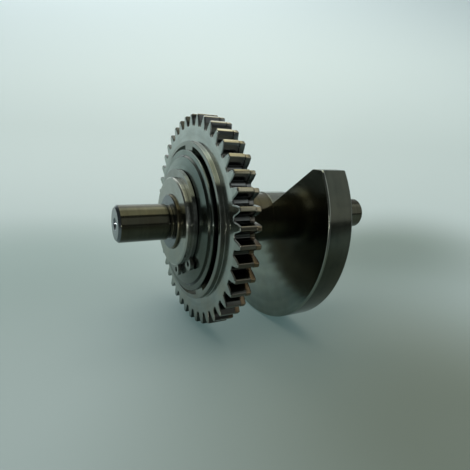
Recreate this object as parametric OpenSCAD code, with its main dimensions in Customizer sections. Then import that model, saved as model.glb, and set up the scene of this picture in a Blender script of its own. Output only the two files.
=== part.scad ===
// Balance shaft with a one-piece counterweight and a split anti-backlash gear.
// X runs along the shaft towards the counterweight, Z is up and the weight hangs down.
// The origin is on the shaft axis, in the plane of the main gear's front face.

/* [Shaft] */
// Diameter of the two bearing journals
journal_d = 15; // [12:0.5:18]
// Length of the left journal, from the shaft's end to its relief groove
left_journal_len = 19.9; // [15:0.1:30]
// Length of the right journal, from the shaft's end to its relief groove
right_journal_len = 19.8; // [15:0.1:30]
// Width of the grinding relief groove beside each journal
relief_w = 1.8; // [1:0.1:3]
// Depth of the relief groove below the journal
relief_depth = 0.6; // [0.3:0.1:1]
// Diameter of the shaft's body, where the hub is pressed on
body_d = 23; // [20:0.5:26]
// How far the body stands out of the hub's front face
nose_len = 1.1; // [0.5:0.1:3]
// Length of the body behind the counterweight
tail_len = 26.1; // [15:0.1:40]
// Diameter of the shoulder that the hub is pressed against
shoulder_d = 28; // [26:0.5:32]
// Width of that shoulder
shoulder_w = 3; // [2:0.5:6]
// Chamfer at the shaft's ends and steps
shaft_chamfer = 1; // [0.4:0.1:1.5]
// Diameter of the lathe centre holes
centre_hole_d = 5; // [3:0.5:7]
// Depth of the lathe centre holes' pilot drilling
centre_hole_len = 6; // [4:0.5:9]

/* [Counterweight] */
// Distance from the main gear's front face to the counterweight
weight_x = 35.6; // [30:0.1:60]
// Outside diameter of the counterweight's rim
weight_d = 93.8; // [88:0.1:100]
// Thickness of the counterweight
weight_w = 11.9; // [8:0.1:16]
// Angle by which the weight is turned about the shaft from straight down
weight_turn = 8.5; // [0:0.1:10]
// Slope of the two upper sides above the weight's own cross line, in degrees
wing_angle = 25.8; // [20:0.1:32]
// Distance of the upper sides' lines from the shaft axis
wing_offset = 1.8; // [0:0.1:4]
// Distance of the flat wing tips from the shaft axis
tip_offset = 25.4; // [22:0.1:28]
// Slope of the wing tips down towards the rim, in degrees
tip_slope = 8.5; // [0:0.1:15]
// Rounding between an upper side and its flat tip
wing_corner_r = 2.5; // [1:0.1:4]
// Diameter of the weight's hub round the shaft
weight_hub_d = 24; // [23.4:0.1:30]
// Chamfer on both edges of the rim
rim_chamfer = 0.8; // [0.4:0.1:1.5]

/* [Gear teeth] */
// Module of the teeth
gear_module = 2; // [1.8:0.05:2.2]
// Number of teeth
gear_teeth = 42; // [40:1:44]
// Pressure angle in degrees
pressure_angle = 20; // [18:0.5:25]
// Tooth width of the main gear
gear_w = 6.3; // [5:0.1:9]
// Thickness of the sprung sub gear
sub_gear_w = 2.3; // [2:0.1:4]
// Angle by which the springs hold the sub gear's teeth out of line
tooth_stagger = 0.4; // [0.2:0.1:2]
// Angle of the main gear's first tooth from the Y axis
tooth_phase = 0.84; // [0:0.01:8]
// Chamfer on the outer ends of the teeth
tooth_chamfer = 0.6; // [0.3:0.1:1]
// Chamfer on the ends where the two gears meet
split_chamfer = 0.1; // [0.05:0.05:0.3]
// Fillet at the foot of the teeth
root_round = 0.5; // [0.3:0.1:0.7]

/* [Main gear body] */
// Height of the raised boss on the front face
boss_h = 2; // [1:0.1:3]
// Chamfer on the boss's edge
boss_chamfer = 0.3; // [0.1:0.1:0.8]
// Wall between the splined bore and the spring windows
bore_wall = 1.8; // [1:0.1:2.5]
// Wall between the spring windows and the arc channels
channel_wall = 0.7; // [0.5:0.1:1.5]
// Width of the arc channels around the plate
channel_w = 3.7; // [2:0.1:4.5]
// Wall between the arc channels and the outside of the boss
boss_wall = 1.8; // [1.5:0.1:3]
// Depth of the arc channels below the boss
channel_depth = 5; // [3:0.1:6]
// Angles of the lands between the channels, from the Y axis
land_angles = [92, 238.2, 347.6]; // [0:0.1:360]
// Angular width of each land
land_span = 14; // [10:0.5:30]

/* [Hub] */
// Diameter of the hub's nose and of the splines' root
hub_d = 36.8; // [34:0.1:38]
// How far the nose stands out in front of the circlip
hub_lip = 2.1; // [1:0.1:4]
// Chamfer on the nose
hub_chamfer = 0.5; // [0.2:0.1:1]
// Number of splines that drive the main gear
spline_count = 12; // [6:1:16]
// Height of a spline
spline_h = 1.4; // [0.8:0.1:1.6]
// Width of a spline
spline_w = 4.6; // [3:0.1:5]
// Height of the sub gear's bearing surface above the splines
sub_seat_h = 0.4; // [0.2:0.1:1]
// Diameter of the flange behind the sub gear
flange_d = 50; // [46:0.5:56]
// Width of that flange
flange_w = 2.4; // [1.5:0.1:4]

/* [Springs] */
// Angle of the first window's start from the Y axis
window_start = 110; // [0:1:360]
// Angular length of a window
window_span = 50; // [46:1:60]
// Radial width of a window
window_w = 5.4; // [4.5:0.1:6]
// Angular width of the sub gear's drive lugs
lug_span = 7; // [5:0.5:9]
// Diameter of the spring wire
wire_d = 0.9; // [0.7:0.05:1.1]
// Number of turns of a spring
coil_turns = 9; // [7:1:11]

/* [Plate and circlip] */
// How far the dished plate's rim reaches over the arc channels
plate_lap = 1.9; // [0.4:0.1:2.5]
// Thickness of the plate
plate_t = 1.2; // [0.8:0.1:1.6]
// Width of the plate's flat rim
plate_rim = 2.2; // [1:0.1:3]
// Height of the step inside the rim
plate_step = 0.7; // [0.4:0.1:1]
// Rise of the cone from the step to the circlip
plate_rise = 1.3; // [0.5:0.1:2]
// Thickness of the circlip
clip_t = 1.5; // [1.2:0.1:2]
// Depth of the circlip's groove in the hub
clip_groove = 1.2; // [0.8:0.1:1.6]
// Width of the circlip opposite its lugs
clip_back_w = 4.6; // [4:0.1:6]
// Width of the circlip beside its lugs
clip_end_w = 2.6; // [2:0.1:4]
// Angle of the circlip's opening from the Y axis
clip_angle = 244; // [0:1:360]
// Angle between the middle of the opening and a plier hole
clip_hole_angle = 20.5; // [14:0.5:24]
// Radius of a lug
clip_lug_r = 2.6; // [2:0.1:3]
// How far a lug reaches in past the hub's surface
clip_lug_sink = 0.28; // [0.1:0.01:0.5]
// Diameter of the plier holes
clip_hole_d = 2.2; // [1.5:0.1:2.5]

/* [Clearances] */
// Radial clearance of a pressed or seated joint
seat_gap = 0.02; // [0.01:0.005:0.04]
// Radial clearance between the sub gear and the hub
running_gap = 0.05; // [0.02:0.01:0.1]
// Axial clearance on each side of the sub gear
side_gap = 0.15; // [0.1:0.01:0.3]
// Clearance at the ends of springs, lugs and splines
end_gap = 0.06; // [0.03:0.01:0.1]
// Clearance between the lugs and the windows' long sides
lug_gap = 0.24; // [0.1:0.01:0.4]
// Clearance between the spring coils and the windows' long sides
coil_gap = 0.4; // [0.2:0.05:0.6]
// Radial clearance between the plate and the hub
plate_gap = 0.1; // [0.05:0.01:0.2]

/* [Hidden] */

$fn = 96;
// Overlap that keeps joined solids and cuts clean
eps = 0.01;
// One spring for each of the spring nodes
spring_count = 3;
// Steps on one flank of a tooth, on a rounding and in the outline of a sector
flank_steps = 4;
blend_steps = 10;
sector_steps = 4;
// Facets of a spring: steps in a turn and sides of the wire
turn_steps = 12;
wire_sides = 6;
// Pitch of a spring's closed end turns, in wire widths
closed_ratio = 1.08;
// Standard tooth proportions, in modules
addendum = 1;
dedendum = 1.25;
// Angle of the plate's step
step_angle = 45;

// Stations along the shaft
sub_front = gear_w + side_gap;
sub_back = sub_front + sub_gear_w;
flange_front = sub_back + side_gap;
hub_back = flange_front + flange_w;
boss_front = -boss_h;
plate_front = boss_front - plate_t;
clip_back = plate_front - plate_step - plate_rise;
clip_front = clip_back - clip_t;
hub_front = clip_front - hub_lip;
nose_front = hub_front - nose_len;
left_seat = nose_front - relief_w;
left_end = left_seat - left_journal_len;
shoulder_back = hub_back + shoulder_w;
weight_back = weight_x + weight_w;
tail_end = weight_back + tail_len;
right_seat = tail_end + relief_w;
right_end = right_seat + right_journal_len;

// Radii
journal_r = journal_d / 2;
relief_r = journal_r - relief_depth;
body_r = body_d / 2;
weight_r = weight_d / 2;
hub_r = hub_d / 2;
spline_r = hub_r + spline_h;
sub_seat_r = spline_r + sub_seat_h;
pitch_r = gear_module * gear_teeth / 2;
tip_r = pitch_r + addendum * gear_module;
root_r = pitch_r - dedendum * gear_module;
base_r = pitch_r * cos(pressure_angle);
window_in = spline_r + bore_wall;
window_out = window_in + window_w;
channel_in = window_out + channel_wall;
channel_out = channel_in + channel_w;
boss_r = channel_out + boss_wall;
plate_r = channel_in + plate_lap;
lug_in = window_in + lug_gap;
lug_out = window_out - lug_gap;
clip_in = hub_r - clip_groove + seat_gap;
clip_hole_r = hub_r + clip_lug_r - clip_lug_sink;

// Springs: the coils' centre line and the angles that a wire's width takes up there
coil_r = window_w / 2 - coil_gap - wire_d / 2;
path_r = (window_in + window_out) / 2;
path_z = (boss_front + gear_w) / 2;
wire_angle = wire_d / path_r * 180 / PI;
end_angle = end_gap / path_r * 180 / PI;
lug_from = window_start + window_span - end_angle - lug_span;
spring_from = window_start + end_angle + wire_angle / 2;
spring_to = lug_from - end_angle - wire_angle / 2;
closed_pitch = wire_angle * closed_ratio;
open_pitch = (spring_to - spring_from - 2 * closed_pitch) / (coil_turns - 2);

// Turns a solid drawn along Z so that it lies along the shaft, with polar angles from Y
module along_shaft(x = 0) {
  translate([x, 0, 0]) rotate([90, 0, 90]) children();
}

function polar(r, a) = [r * cos(a), r * sin(a)];

function arc_points(centre, r, from, to, steps) =
  [for (i = [0 : steps]) centre + polar(r, from + (to - from) * i / steps)];

// Flat ring sector, for the channels, windows and lugs
module ring_sector(inner, outer, from, span) {
  intersection() {
    difference() {
      circle(r = outer);
      circle(r = inner);
    }
    polygon(concat([[0, 0]], arc_points([0, 0], 2 * outer, from, from + span, sector_steps)));
  }
}

// Involute teeth: the angle from a tooth's middle to its flank at radius r
function involute(r) = let (a = acos(min(1, base_r / r))) tan(a) * 180 / PI - a;
function half_tooth(r) = 90 / gear_teeth + involute(pitch_r) - involute(r);

// One side of a tooth from its foot to its tip, as radius and angle from the tooth's middle
foot_angle = root_round / root_r * 180 / PI;
foot_bend = 1 - sqrt(0.5);
bend_r = root_r + foot_bend * root_round;
function flank_r(i) = root_r + root_round + (tip_r - root_r - root_round) * i / flank_steps;

tooth_side = concat(
  [
    [root_r, half_tooth(root_r) + foot_angle],
    [bend_r, half_tooth(bend_r) + foot_bend * foot_angle]
  ],
  [for (i = [0 : flank_steps]) [flank_r(i), half_tooth(flank_r(i))]]
);

function tooth_points(middle) = concat(
  [for (p = tooth_side) polar(p[0], middle - p[1])],
  [for (i = [len(tooth_side) - 1 : -1 : 0]) polar(tooth_side[i][0], middle + tooth_side[i][1])]
);

module toothed_disc(width, phase, front_chamfer, back_chamfer) {
  outline = [for (k = [0 : gear_teeth - 1]) each tooth_points(phase + 360 * k / gear_teeth)];
  intersection() {
    linear_extrude(height = width) polygon(outline);
    rotate_extrude() polygon([
      [0, 0],
      [tip_r - front_chamfer, 0],
      [tip_r + eps, front_chamfer + eps],
      [tip_r + eps, width - back_chamfer - eps],
      [tip_r - back_chamfer, width],
      [0, width]
    ]);
  }
}

// Splined section, drawn larger by gap for the bore that slides over it
module spline_section(gap = 0) {
  circle(r = hub_r + gap);
  for (k = [0 : spline_count - 1])
    rotate(360 * k / spline_count)
      translate([0, -spline_w / 2 - gap])
        square([spline_r + gap, spline_w + 2 * gap]);
}

// The point at distance d1 along the normal of angle a1 and d2 along the normal of angle a2
function line_cross(a1, d1, a2, d2) =
  [d1 * sin(a2) - d2 * sin(a1), d2 * cos(a1) - d1 * cos(a2)] / sin(a2 - a1);

// Counterweight, before it is turned: one wing from beyond the rim to the shaft
side_normal = 90 + wing_angle;
tip_normal = 90 - tip_slope;
corner_centre = line_cross(
  side_normal, wing_offset - wing_corner_r, tip_normal, tip_offset - wing_corner_r
);
wing = concat(
  [corner_centre + polar(wing_corner_r, tip_normal) + polar(weight_d, -tip_slope)],
  arc_points(corner_centre, wing_corner_r, tip_normal, side_normal, blend_steps)
);
wing_meet = [0, wing_offset / cos(wing_angle)];

function mirrored(points) = [for (i = [len(points) - 1 : -1 : 0]) [-points[i][0], points[i][1]]];

module counterweight() {
  outline = concat(
    [[weight_d, -weight_d]], wing, [wing_meet], mirrored(wing), [[-weight_d, -weight_d]]
  );
  along_shaft(weight_x) rotate(-weight_turn) intersection() {
    rotate_extrude() polygon([
      [0, 0],
      [weight_r - rim_chamfer, 0],
      [weight_r, rim_chamfer],
      [weight_r, weight_w - rim_chamfer],
      [weight_r - rim_chamfer, weight_w],
      [0, weight_w]
    ]);
    linear_extrude(height = weight_w) {
      polygon(outline);
      circle(d = weight_hub_d);
    }
  }
}

// Turned outline of the shaft, as radius against position along its axis
shaft_outline = [
  [0, left_end],
  [journal_r - shaft_chamfer, left_end],
  [journal_r, left_end + shaft_chamfer],
  [journal_r, left_seat],
  [relief_r, left_seat + relief_depth],
  [relief_r, nose_front],
  [body_r - shaft_chamfer / 2, nose_front],
  [body_r, nose_front + shaft_chamfer / 2],
  [body_r, hub_back],
  [shoulder_d / 2 - shaft_chamfer / 2, hub_back],
  [shoulder_d / 2, hub_back + shaft_chamfer / 2],
  [shoulder_d / 2, shoulder_back],
  [body_r, shoulder_back + (shoulder_d / 2 - body_r)],
  [body_r, tail_end - shaft_chamfer / 2],
  [body_r - shaft_chamfer / 2, tail_end],
  [relief_r, tail_end],
  [relief_r, right_seat - relief_depth],
  [journal_r, right_seat],
  [journal_r, right_end - shaft_chamfer],
  [journal_r - shaft_chamfer, right_end],
  [0, right_end]
];

// Lathe centre: a pilot hole with a 60 degree countersink at its mouth
module centre_hole() {
  pilot_r = centre_hole_d / 4;
  sink_len = (centre_hole_d / 2 - pilot_r) / tan(30);
  rotate_extrude() polygon([
    [0, -eps],
    [centre_hole_d / 2, -eps],
    [centre_hole_d / 2, 0],
    [pilot_r, sink_len],
    [pilot_r, centre_hole_len],
    [0, centre_hole_len + pilot_r * tan(30)]
  ]);
}

module balance_shaft() {
  color([0.42, 0.44, 0.42]) difference() {
    union() {
      along_shaft() rotate_extrude() polygon(shaft_outline);
      counterweight();
    }
    along_shaft(left_end) centre_hole();
    translate([right_end, 0, 0]) rotate([0, 0, 180]) along_shaft() centre_hole();
  }
}

module gear_hub() {
  color([0.62, 0.65, 0.62]) difference() {
    union() {
      along_shaft() rotate_extrude() polygon([
        [0, hub_front],
        [hub_r - hub_chamfer, hub_front],
        [hub_r, hub_front + hub_chamfer],
        [hub_r, clip_front - seat_gap],
        [hub_r - clip_groove, clip_front - seat_gap],
        [hub_r - clip_groove, clip_back + seat_gap],
        [hub_r, clip_back + seat_gap],
        [hub_r, gear_w],
        [sub_seat_r, gear_w],
        [sub_seat_r, flange_front],
        [flange_d / 2, flange_front],
        [flange_d / 2, hub_back],
        [0, hub_back]
      ]);
      along_shaft(boss_front) linear_extrude(height = gear_w - boss_front + eps) spline_section();
    }
    along_shaft(hub_front - eps) cylinder(r = body_r + seat_gap, h = hub_back - hub_front + 2 * eps);
  }
}

// Arc channels: each runs from one land to the next
module channel_section() {
  last = len(land_angles) - 1;
  for (i = [0 : last]) {
    from = land_angles[i] + land_span / 2;
    to = (i < last ? land_angles[i + 1] : land_angles[0] + 360) - land_span / 2;
    ring_sector(channel_in, channel_out, from, to - from);
  }
}

module main_gear() {
  color([0.60, 0.66, 0.62]) difference() {
    union() {
      along_shaft() toothed_disc(gear_w, tooth_phase, tooth_chamfer, split_chamfer);
      along_shaft(boss_front) rotate_extrude() polygon([
        [0, 0],
        [boss_r - boss_chamfer, 0],
        [boss_r, boss_chamfer],
        [boss_r, boss_h + eps],
        [0, boss_h + eps]
      ]);
    }
    along_shaft(boss_front - eps) linear_extrude(height = channel_depth + eps) channel_section();
    along_shaft(boss_front - eps) linear_extrude(height = gear_w - boss_front + 2 * eps) {
      spline_section(end_gap);
      for (k = [0 : spring_count - 1])
        ring_sector(window_in, window_out, window_start + 360 * k / spring_count, window_span);
    }
  }
}

module sub_gear() {
  lug_front = boss_front + lug_gap;
  color([0.55, 0.60, 0.57]) union() {
    difference() {
      along_shaft(sub_front)
        toothed_disc(sub_gear_w, tooth_phase + tooth_stagger, split_chamfer, tooth_chamfer);
      along_shaft(sub_front - eps) cylinder(r = sub_seat_r + running_gap, h = sub_gear_w + 2 * eps);
    }
    for (k = [0 : spring_count - 1])
      along_shaft(lug_front) linear_extrude(height = sub_front - lug_front + eps)
        ring_sector(lug_in, lug_out, lug_from + 360 * k / spring_count, lug_span);
  }
}

// Arc spring: a coil whose axis follows the windows' middle circle, with a closed turn at each end
function coil_advance(t) =
  t < 1 ? t * closed_pitch
  : t < coil_turns - 1 ? closed_pitch + (t - 1) * open_pitch
  : 2 * closed_pitch + (coil_turns - 2) * open_pitch - (coil_turns - t) * closed_pitch;

function outward(a) = [cos(a), sin(a), 0];
function sideways(a) = [-sin(a), cos(a), 0];

function wire_ring(t) =
  let (
    a = spring_from + coil_advance(t),
    turn = 360 * t,
    reach = cos(turn) * outward(a) + [0, 0, sin(turn)],
    centre = path_r * outward(a) + coil_r * reach,
    run = -sin(turn) * outward(a) + [0, 0, cos(turn)]
      + (path_r * open_pitch / 360 / coil_r) * sideways(a),
    side = cross(run / norm(run), reach)
  )
  [for (k = [0 : wire_sides - 1])
    centre + wire_d / 2 * (cos(360 * k / wire_sides) * reach + sin(360 * k / wire_sides) * side)];

module scissor_spring(index) {
  rings = coil_turns * turn_steps;
  points = [for (i = [0 : rings]) each wire_ring(i / turn_steps)];
  sides = [
    for (i = [0 : rings - 1], k = [0 : wire_sides - 1])
      let (here = i * wire_sides, next = here + wire_sides, k2 = (k + 1) % wire_sides)
      each [
        [here + k, here + k2, next + k2],
        [here + k, next + k2, next + k]
      ]
  ];
  first = [for (k = [wire_sides - 1 : -1 : 0]) k];
  last = [for (k = [0 : wire_sides - 1]) rings * wire_sides + k];
  color([0.35, 0.36, 0.38])
    along_shaft(path_z) rotate(360 * index / spring_count)
      polyhedron(points = points, faces = concat(sides, [first, last]));
}

module spring_plate() {
  inner = hub_r + plate_gap;
  rim_in = plate_r - plate_rim;
  under = plate_t * tan(step_angle / 2);
  color([0.36, 0.42, 0.38]) along_shaft() rotate_extrude() polygon([
    [inner, clip_back],
    [rim_in - plate_step, plate_front - plate_step],
    [rim_in, plate_front],
    [plate_r, plate_front],
    [plate_r, boss_front],
    [rim_in - under, boss_front],
    [rim_in - plate_step - under, boss_front - plate_step],
    [inner, clip_back + plate_t]
  ]);
}

module circlip() {
  // The outside circle is off centre, so that the ring tapers from its back to its lugs
  clip_out = clip_in + (clip_back_w + clip_end_w) / 2;
  offset_x = -(clip_back_w - clip_end_w) / 2;
  opening = clip_hole_angle - asin(clip_lug_r / clip_hole_r);
  color([0.50, 0.53, 0.50]) along_shaft(clip_front) rotate(clip_angle) linear_extrude(height = clip_t)
    difference() {
      union() {
        translate([offset_x, 0]) circle(r = clip_out);
        for (s = [-1, 1])
          translate(polar(clip_hole_r, s * clip_hole_angle)) circle(r = clip_lug_r);
      }
      circle(r = clip_in);
      polygon(concat([[0, 0]], arc_points([0, 0], 2 * clip_out, -opening, opening, sector_steps)));
      for (s = [-1, 1])
        translate(polar(clip_hole_r, s * clip_hole_angle)) circle(d = clip_hole_d);
    }
}

balance_shaft();
gear_hub();
main_gear();
sub_gear();
scissor_spring(0);  // scissor_spring_1
scissor_spring(1);  // scissor_spring_2
scissor_spring(2);  // scissor_spring_3
spring_plate();
circlip();
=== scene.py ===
"""Looks of a balance shaft: turned journals, a forged counterweight and a split, sprung spur gear."""

import logging
import math
from collections.abc import Callable, Sequence
from dataclasses import dataclass, field
from enum import Enum

import bmesh
import bpy
from mathutils import Matrix, Vector


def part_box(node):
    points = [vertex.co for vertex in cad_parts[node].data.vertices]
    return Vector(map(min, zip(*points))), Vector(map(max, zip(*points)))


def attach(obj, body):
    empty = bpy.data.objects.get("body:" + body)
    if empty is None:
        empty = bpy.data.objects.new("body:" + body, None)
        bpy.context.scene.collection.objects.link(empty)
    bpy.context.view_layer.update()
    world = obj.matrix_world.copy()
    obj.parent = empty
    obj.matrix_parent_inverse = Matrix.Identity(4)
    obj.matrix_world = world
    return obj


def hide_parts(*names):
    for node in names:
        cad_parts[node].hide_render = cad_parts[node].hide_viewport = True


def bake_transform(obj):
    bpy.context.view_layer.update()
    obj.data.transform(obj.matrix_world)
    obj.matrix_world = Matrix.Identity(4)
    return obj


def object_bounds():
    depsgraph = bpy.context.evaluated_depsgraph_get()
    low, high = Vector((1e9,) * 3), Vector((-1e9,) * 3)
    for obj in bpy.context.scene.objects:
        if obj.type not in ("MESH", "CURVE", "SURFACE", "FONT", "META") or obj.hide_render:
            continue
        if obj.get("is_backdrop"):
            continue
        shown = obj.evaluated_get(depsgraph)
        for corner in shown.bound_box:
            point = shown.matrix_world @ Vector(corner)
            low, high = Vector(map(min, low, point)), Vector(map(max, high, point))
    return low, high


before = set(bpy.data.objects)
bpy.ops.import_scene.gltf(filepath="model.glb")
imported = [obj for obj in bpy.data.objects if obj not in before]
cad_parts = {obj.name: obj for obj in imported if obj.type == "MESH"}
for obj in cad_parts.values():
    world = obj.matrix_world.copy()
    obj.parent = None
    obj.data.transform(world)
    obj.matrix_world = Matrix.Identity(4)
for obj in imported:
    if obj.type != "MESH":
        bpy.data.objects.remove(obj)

MM = 0.001
LOG = logging.getLogger("balance_shaft")

# Vertices nearer than this, in metres, are made one
MERGE = 1e-7
# Place of a chamfer's middle ring, as a share of its width: 0.5 would be flat, and less is rounded
EASE = 0.3

Point = tuple[float, float]
Place = tuple[float, float, float]
Colour = tuple[float, float, float]
Ring = list[bmesh.types.BMVert]
Socket = bpy.types.NodeSocket


class Body(Enum):
    """The two rigid bodies of the part."""

    SHAFT = "shaft"
    SPRUNG_GEAR = "sprung_gear"


# Plane geometry


def polar(radius: float, angle: float) -> Point:
    """Return the plane point at a radius and an angle in degrees."""
    turn = math.radians(angle)
    return radius * math.cos(turn), radius * math.sin(turn)


def apart(first: float, second: float) -> float:
    """Return how many degrees lie between two angles, the short way round."""
    return abs((first - second + 180) % 360 - 180)


def arc(centre: Point, radius: float, start: float, end: float, steps: int) -> list[Point]:
    """Lay points along a circular arc.

    Args:
        centre: Middle of the circle.
        radius: Radius of the circle.
        start: First angle in degrees.
        end: Last angle in degrees.
        steps: Number of straight steps between the two.

    Returns:
        The points, both ends included.
    """
    points = []
    for i in range(steps + 1):
        y, z = polar(radius, start + (end - start) * i / steps)
        points.append((centre[0] + y, centre[1] + z))
    return points


def curve(start: Vector, middle: Vector, end: Vector, steps: int) -> list[Point]:
    """Lay points along a short curve.

    Args:
        start: First point.
        middle: Corner that the curve cuts.
        end: Last point.
        steps: Number of straight steps between the two ends.

    Returns:
        The points, both ends included.
    """
    points = []
    for i in range(steps + 1):
        t = i / steps
        spot = start * (1 - t) ** 2 + middle * 2 * t * (1 - t) + end * t ** 2
        points.append((spot.x, spot.y))
    return points


def rounded(points: Sequence[Point], radius: float, steps: int = 3) -> list[Point]:
    """Round the inner corners of an open polyline.

    Args:
        points: Corners of the polyline.
        radius: Rounding radius, made smaller where the sides are short.
        steps: Straight steps in each rounding.

    Returns:
        The polyline with every inner corner replaced by a short curve.
    """
    least_turn = math.radians(12)
    most_of_side = 0.45
    result = [points[0]]
    for before, corner, after in zip(points, points[1:], points[2:]):
        here = Vector(corner)
        back = Vector(before) - here
        ahead = Vector(after) - here
        turn = math.pi - back.angle(ahead, math.pi)
        if turn < least_turn:
            result.append(corner)
            continue
        reach = min(radius * math.tan(turn / 2), most_of_side * back.length, most_of_side * ahead.length)
        start = here + back.normalized() * reach
        end = here + ahead.normalized() * reach
        result += curve(start, here, end, steps)
    result.append(points[-1])
    return result


def inset_loop(loop: Sequence[Point], depths: Sequence[float]) -> list[Point]:
    """Move a closed loop inwards, each side by its own depth.

    Args:
        loop: Points in anticlockwise order.
        depths: Depth of the side that starts at each point.

    Returns:
        The moved points, in the same order.
    """
    nearly_straight = 0.05
    result = []
    count = len(loop)
    for i, spot in enumerate(loop):
        here = Vector(spot)
        into = (here - Vector(loop[i - 1])).normalized()
        out = (Vector(loop[(i + 1) % count]) - here).normalized()
        normal_in = Vector((-into.y, into.x))
        normal_out = Vector((-out.y, out.x))
        depth_in = depths[i - 1]
        depth_out = depths[i]
        cross = normal_in.x * normal_out.y - normal_in.y * normal_out.x
        if abs(cross) < nearly_straight:
            moved = here + (normal_in + normal_out).normalized() * (depth_in + depth_out) / 2
        else:
            shift_x = (depth_in * normal_out.y - depth_out * normal_in.y) / cross
            shift_y = (normal_in.x * depth_out - normal_out.x * depth_in) / cross
            moved = here + Vector((shift_x, shift_y))
        result.append((moved.x, moved.y))
    return result


# Meshes


def on_shaft(x: float, plane: Point) -> Vector:
    """Return the point at x along the shaft and at a place in the plane across it."""
    return Vector((x, plane[0], plane[1]))


def add_ring(mesh: bmesh.types.BMesh, x: float, loop: Sequence[Point]) -> Ring:
    """Add a loop of points across the shaft to a mesh."""
    return [mesh.verts.new(on_shaft(x, spot)) for spot in loop]


def join_rings(mesh: bmesh.types.BMesh, first: Ring, second: Ring, finish: int = 0) -> None:
    """Join two closed rings of equal length with a strip of faces.

    Args:
        mesh: Mesh that takes the new faces.
        first: One ring.
        second: The other ring.
        finish: Material slot of the faces.
    """
    count = len(first)
    for i in range(count):
        j = (i + 1) % count
        face = mesh.faces.new((first[i], first[j], second[j], second[i]))
        face.material_index = finish


def lathe(mesh: bmesh.types.BMesh, profile: Sequence[Point], segments: int,
          finish_at: Callable[[float, float], int] | None = None) -> None:
    """Turn a profile about the shaft axis.

    Args:
        mesh: Mesh that takes the new faces.
        profile: Points as radius and place along the shaft; a radius of 0 closes the end.
        segments: Number of steps round the axis.
        finish_at: Gives the material slot for a radius and a place, where there is more than one.
    """
    rings: list[Ring] = []
    for radius, x in profile:
        if radius == 0:
            rings.append([mesh.verts.new((x, 0, 0))])
        else:
            rings.append(add_ring(mesh, x, arc((0, 0), radius, 0, 360, segments)[:-1]))
    for index, (first, second) in enumerate(zip(rings, rings[1:])):
        (r1, x1), (r2, x2) = profile[index], profile[index + 1]
        finish = finish_at((r1 + r2) / 2, (x1 + x2) / 2) if finish_at else 0
        if len(first) == len(second):
            join_rings(mesh, first, second, finish)
            continue
        tip, rim = (first[0], second) if len(first) == 1 else (second[0], first)
        for i in range(segments):
            face = mesh.faces.new((tip, rim[i], rim[(i + 1) % segments]))
            face.material_index = finish


def linked(name: str, data: bpy.types.Mesh) -> bpy.types.Object:
    """Make an object of a mesh, at the origin of the scene.

    Args:
        name: Name of the object.
        data: Its mesh.

    Returns:
        The new object.
    """
    made = bpy.data.objects.new(name, data)
    bpy.context.scene.collection.objects.link(made)
    return made


def finish_mesh(mesh: bmesh.types.BMesh, name: str) -> bpy.types.Object:
    """Turn a working mesh into an object at the origin.

    Args:
        mesh: The working mesh, which is freed.
        name: Name of the object.

    Returns:
        The new object, linked to the scene.
    """
    bmesh.ops.remove_doubles(mesh, verts=mesh.verts, dist=MERGE)
    bmesh.ops.recalc_face_normals(mesh, faces=mesh.faces)
    data = bpy.data.meshes.new(name)
    mesh.to_mesh(data)
    mesh.free()
    return linked(name, data)


def applied(source: bpy.types.Object, name: str) -> bpy.types.Object:
    """Make a plain mesh object of an object with its modifiers applied.

    Args:
        source: Object with modifiers; it is deleted.
        name: Name of the new object.

    Returns:
        The new object, with no modifier.
    """
    graph = bpy.context.evaluated_depsgraph_get()
    data = bpy.data.meshes.new_from_object(
        source.evaluated_get(graph), preserve_all_data_layers=True, depsgraph=graph)
    bpy.data.objects.remove(source)
    data.name = name
    return linked(name, data)


def baked(source: bpy.types.Object, name: str, sharp: float = 50.0) -> bpy.types.Object:
    """Make a smooth-shaded piece of an object, whose flat faces stay flat up to their roundings.

    Args:
        source: Object whose modifiers make the shape; it is deleted.
        name: Name of the piece.
        sharp: Angle in degrees above which an edge stays sharp.

    Returns:
        The piece, with no modifier.
    """
    made = applied(source, name + "_shape")
    made.data.shade_smooth()
    made.data.set_sharp_from_angle(angle=math.radians(sharp))
    even = made.modifiers.new("even_shading", "WEIGHTED_NORMAL")
    even.keep_sharp = True
    even.weight = 100
    return applied(made, name)


def soften(target: bpy.types.Object, width: float, angle: float = 40.0) -> None:
    """Add a small rounding to an object's sharp edges.

    Args:
        target: The object.
        width: Width of the rounding.
        angle: Angle in degrees above which an edge is sharp.
    """
    bevel = target.modifiers.new("rounding", "BEVEL")
    bevel.width = width
    bevel.segments = 2
    bevel.limit_method = "ANGLE"
    bevel.angle_limit = math.radians(angle)
    bevel.miter_outer = "MITER_SHARP"


def place(piece: bpy.types.Object, body: Body, node: str) -> None:
    """Seat a finished piece on its body.

    Args:
        piece: The finished piece.
        body: Body that it moves with.
        node: Node that the piece shows.
    """
    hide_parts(node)
    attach(piece, body.value)
    LOG.info("%s rides on %s and shows %s", piece.name, body.value, node)


def place_between(piece: bpy.types.Object, ends: tuple[Vector, Vector], node: str) -> None:
    """Seat a piece that sits between the two bodies, on neither of them, with its place baked into its mesh.

    Args:
        piece: The finished piece.
        ends: Not used.
        node: Node that the piece shows.
    """
    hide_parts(node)
    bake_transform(piece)
    LOG.info("%s gives way between the bodies and shows %s", piece.name, node)


# Node trees


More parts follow.
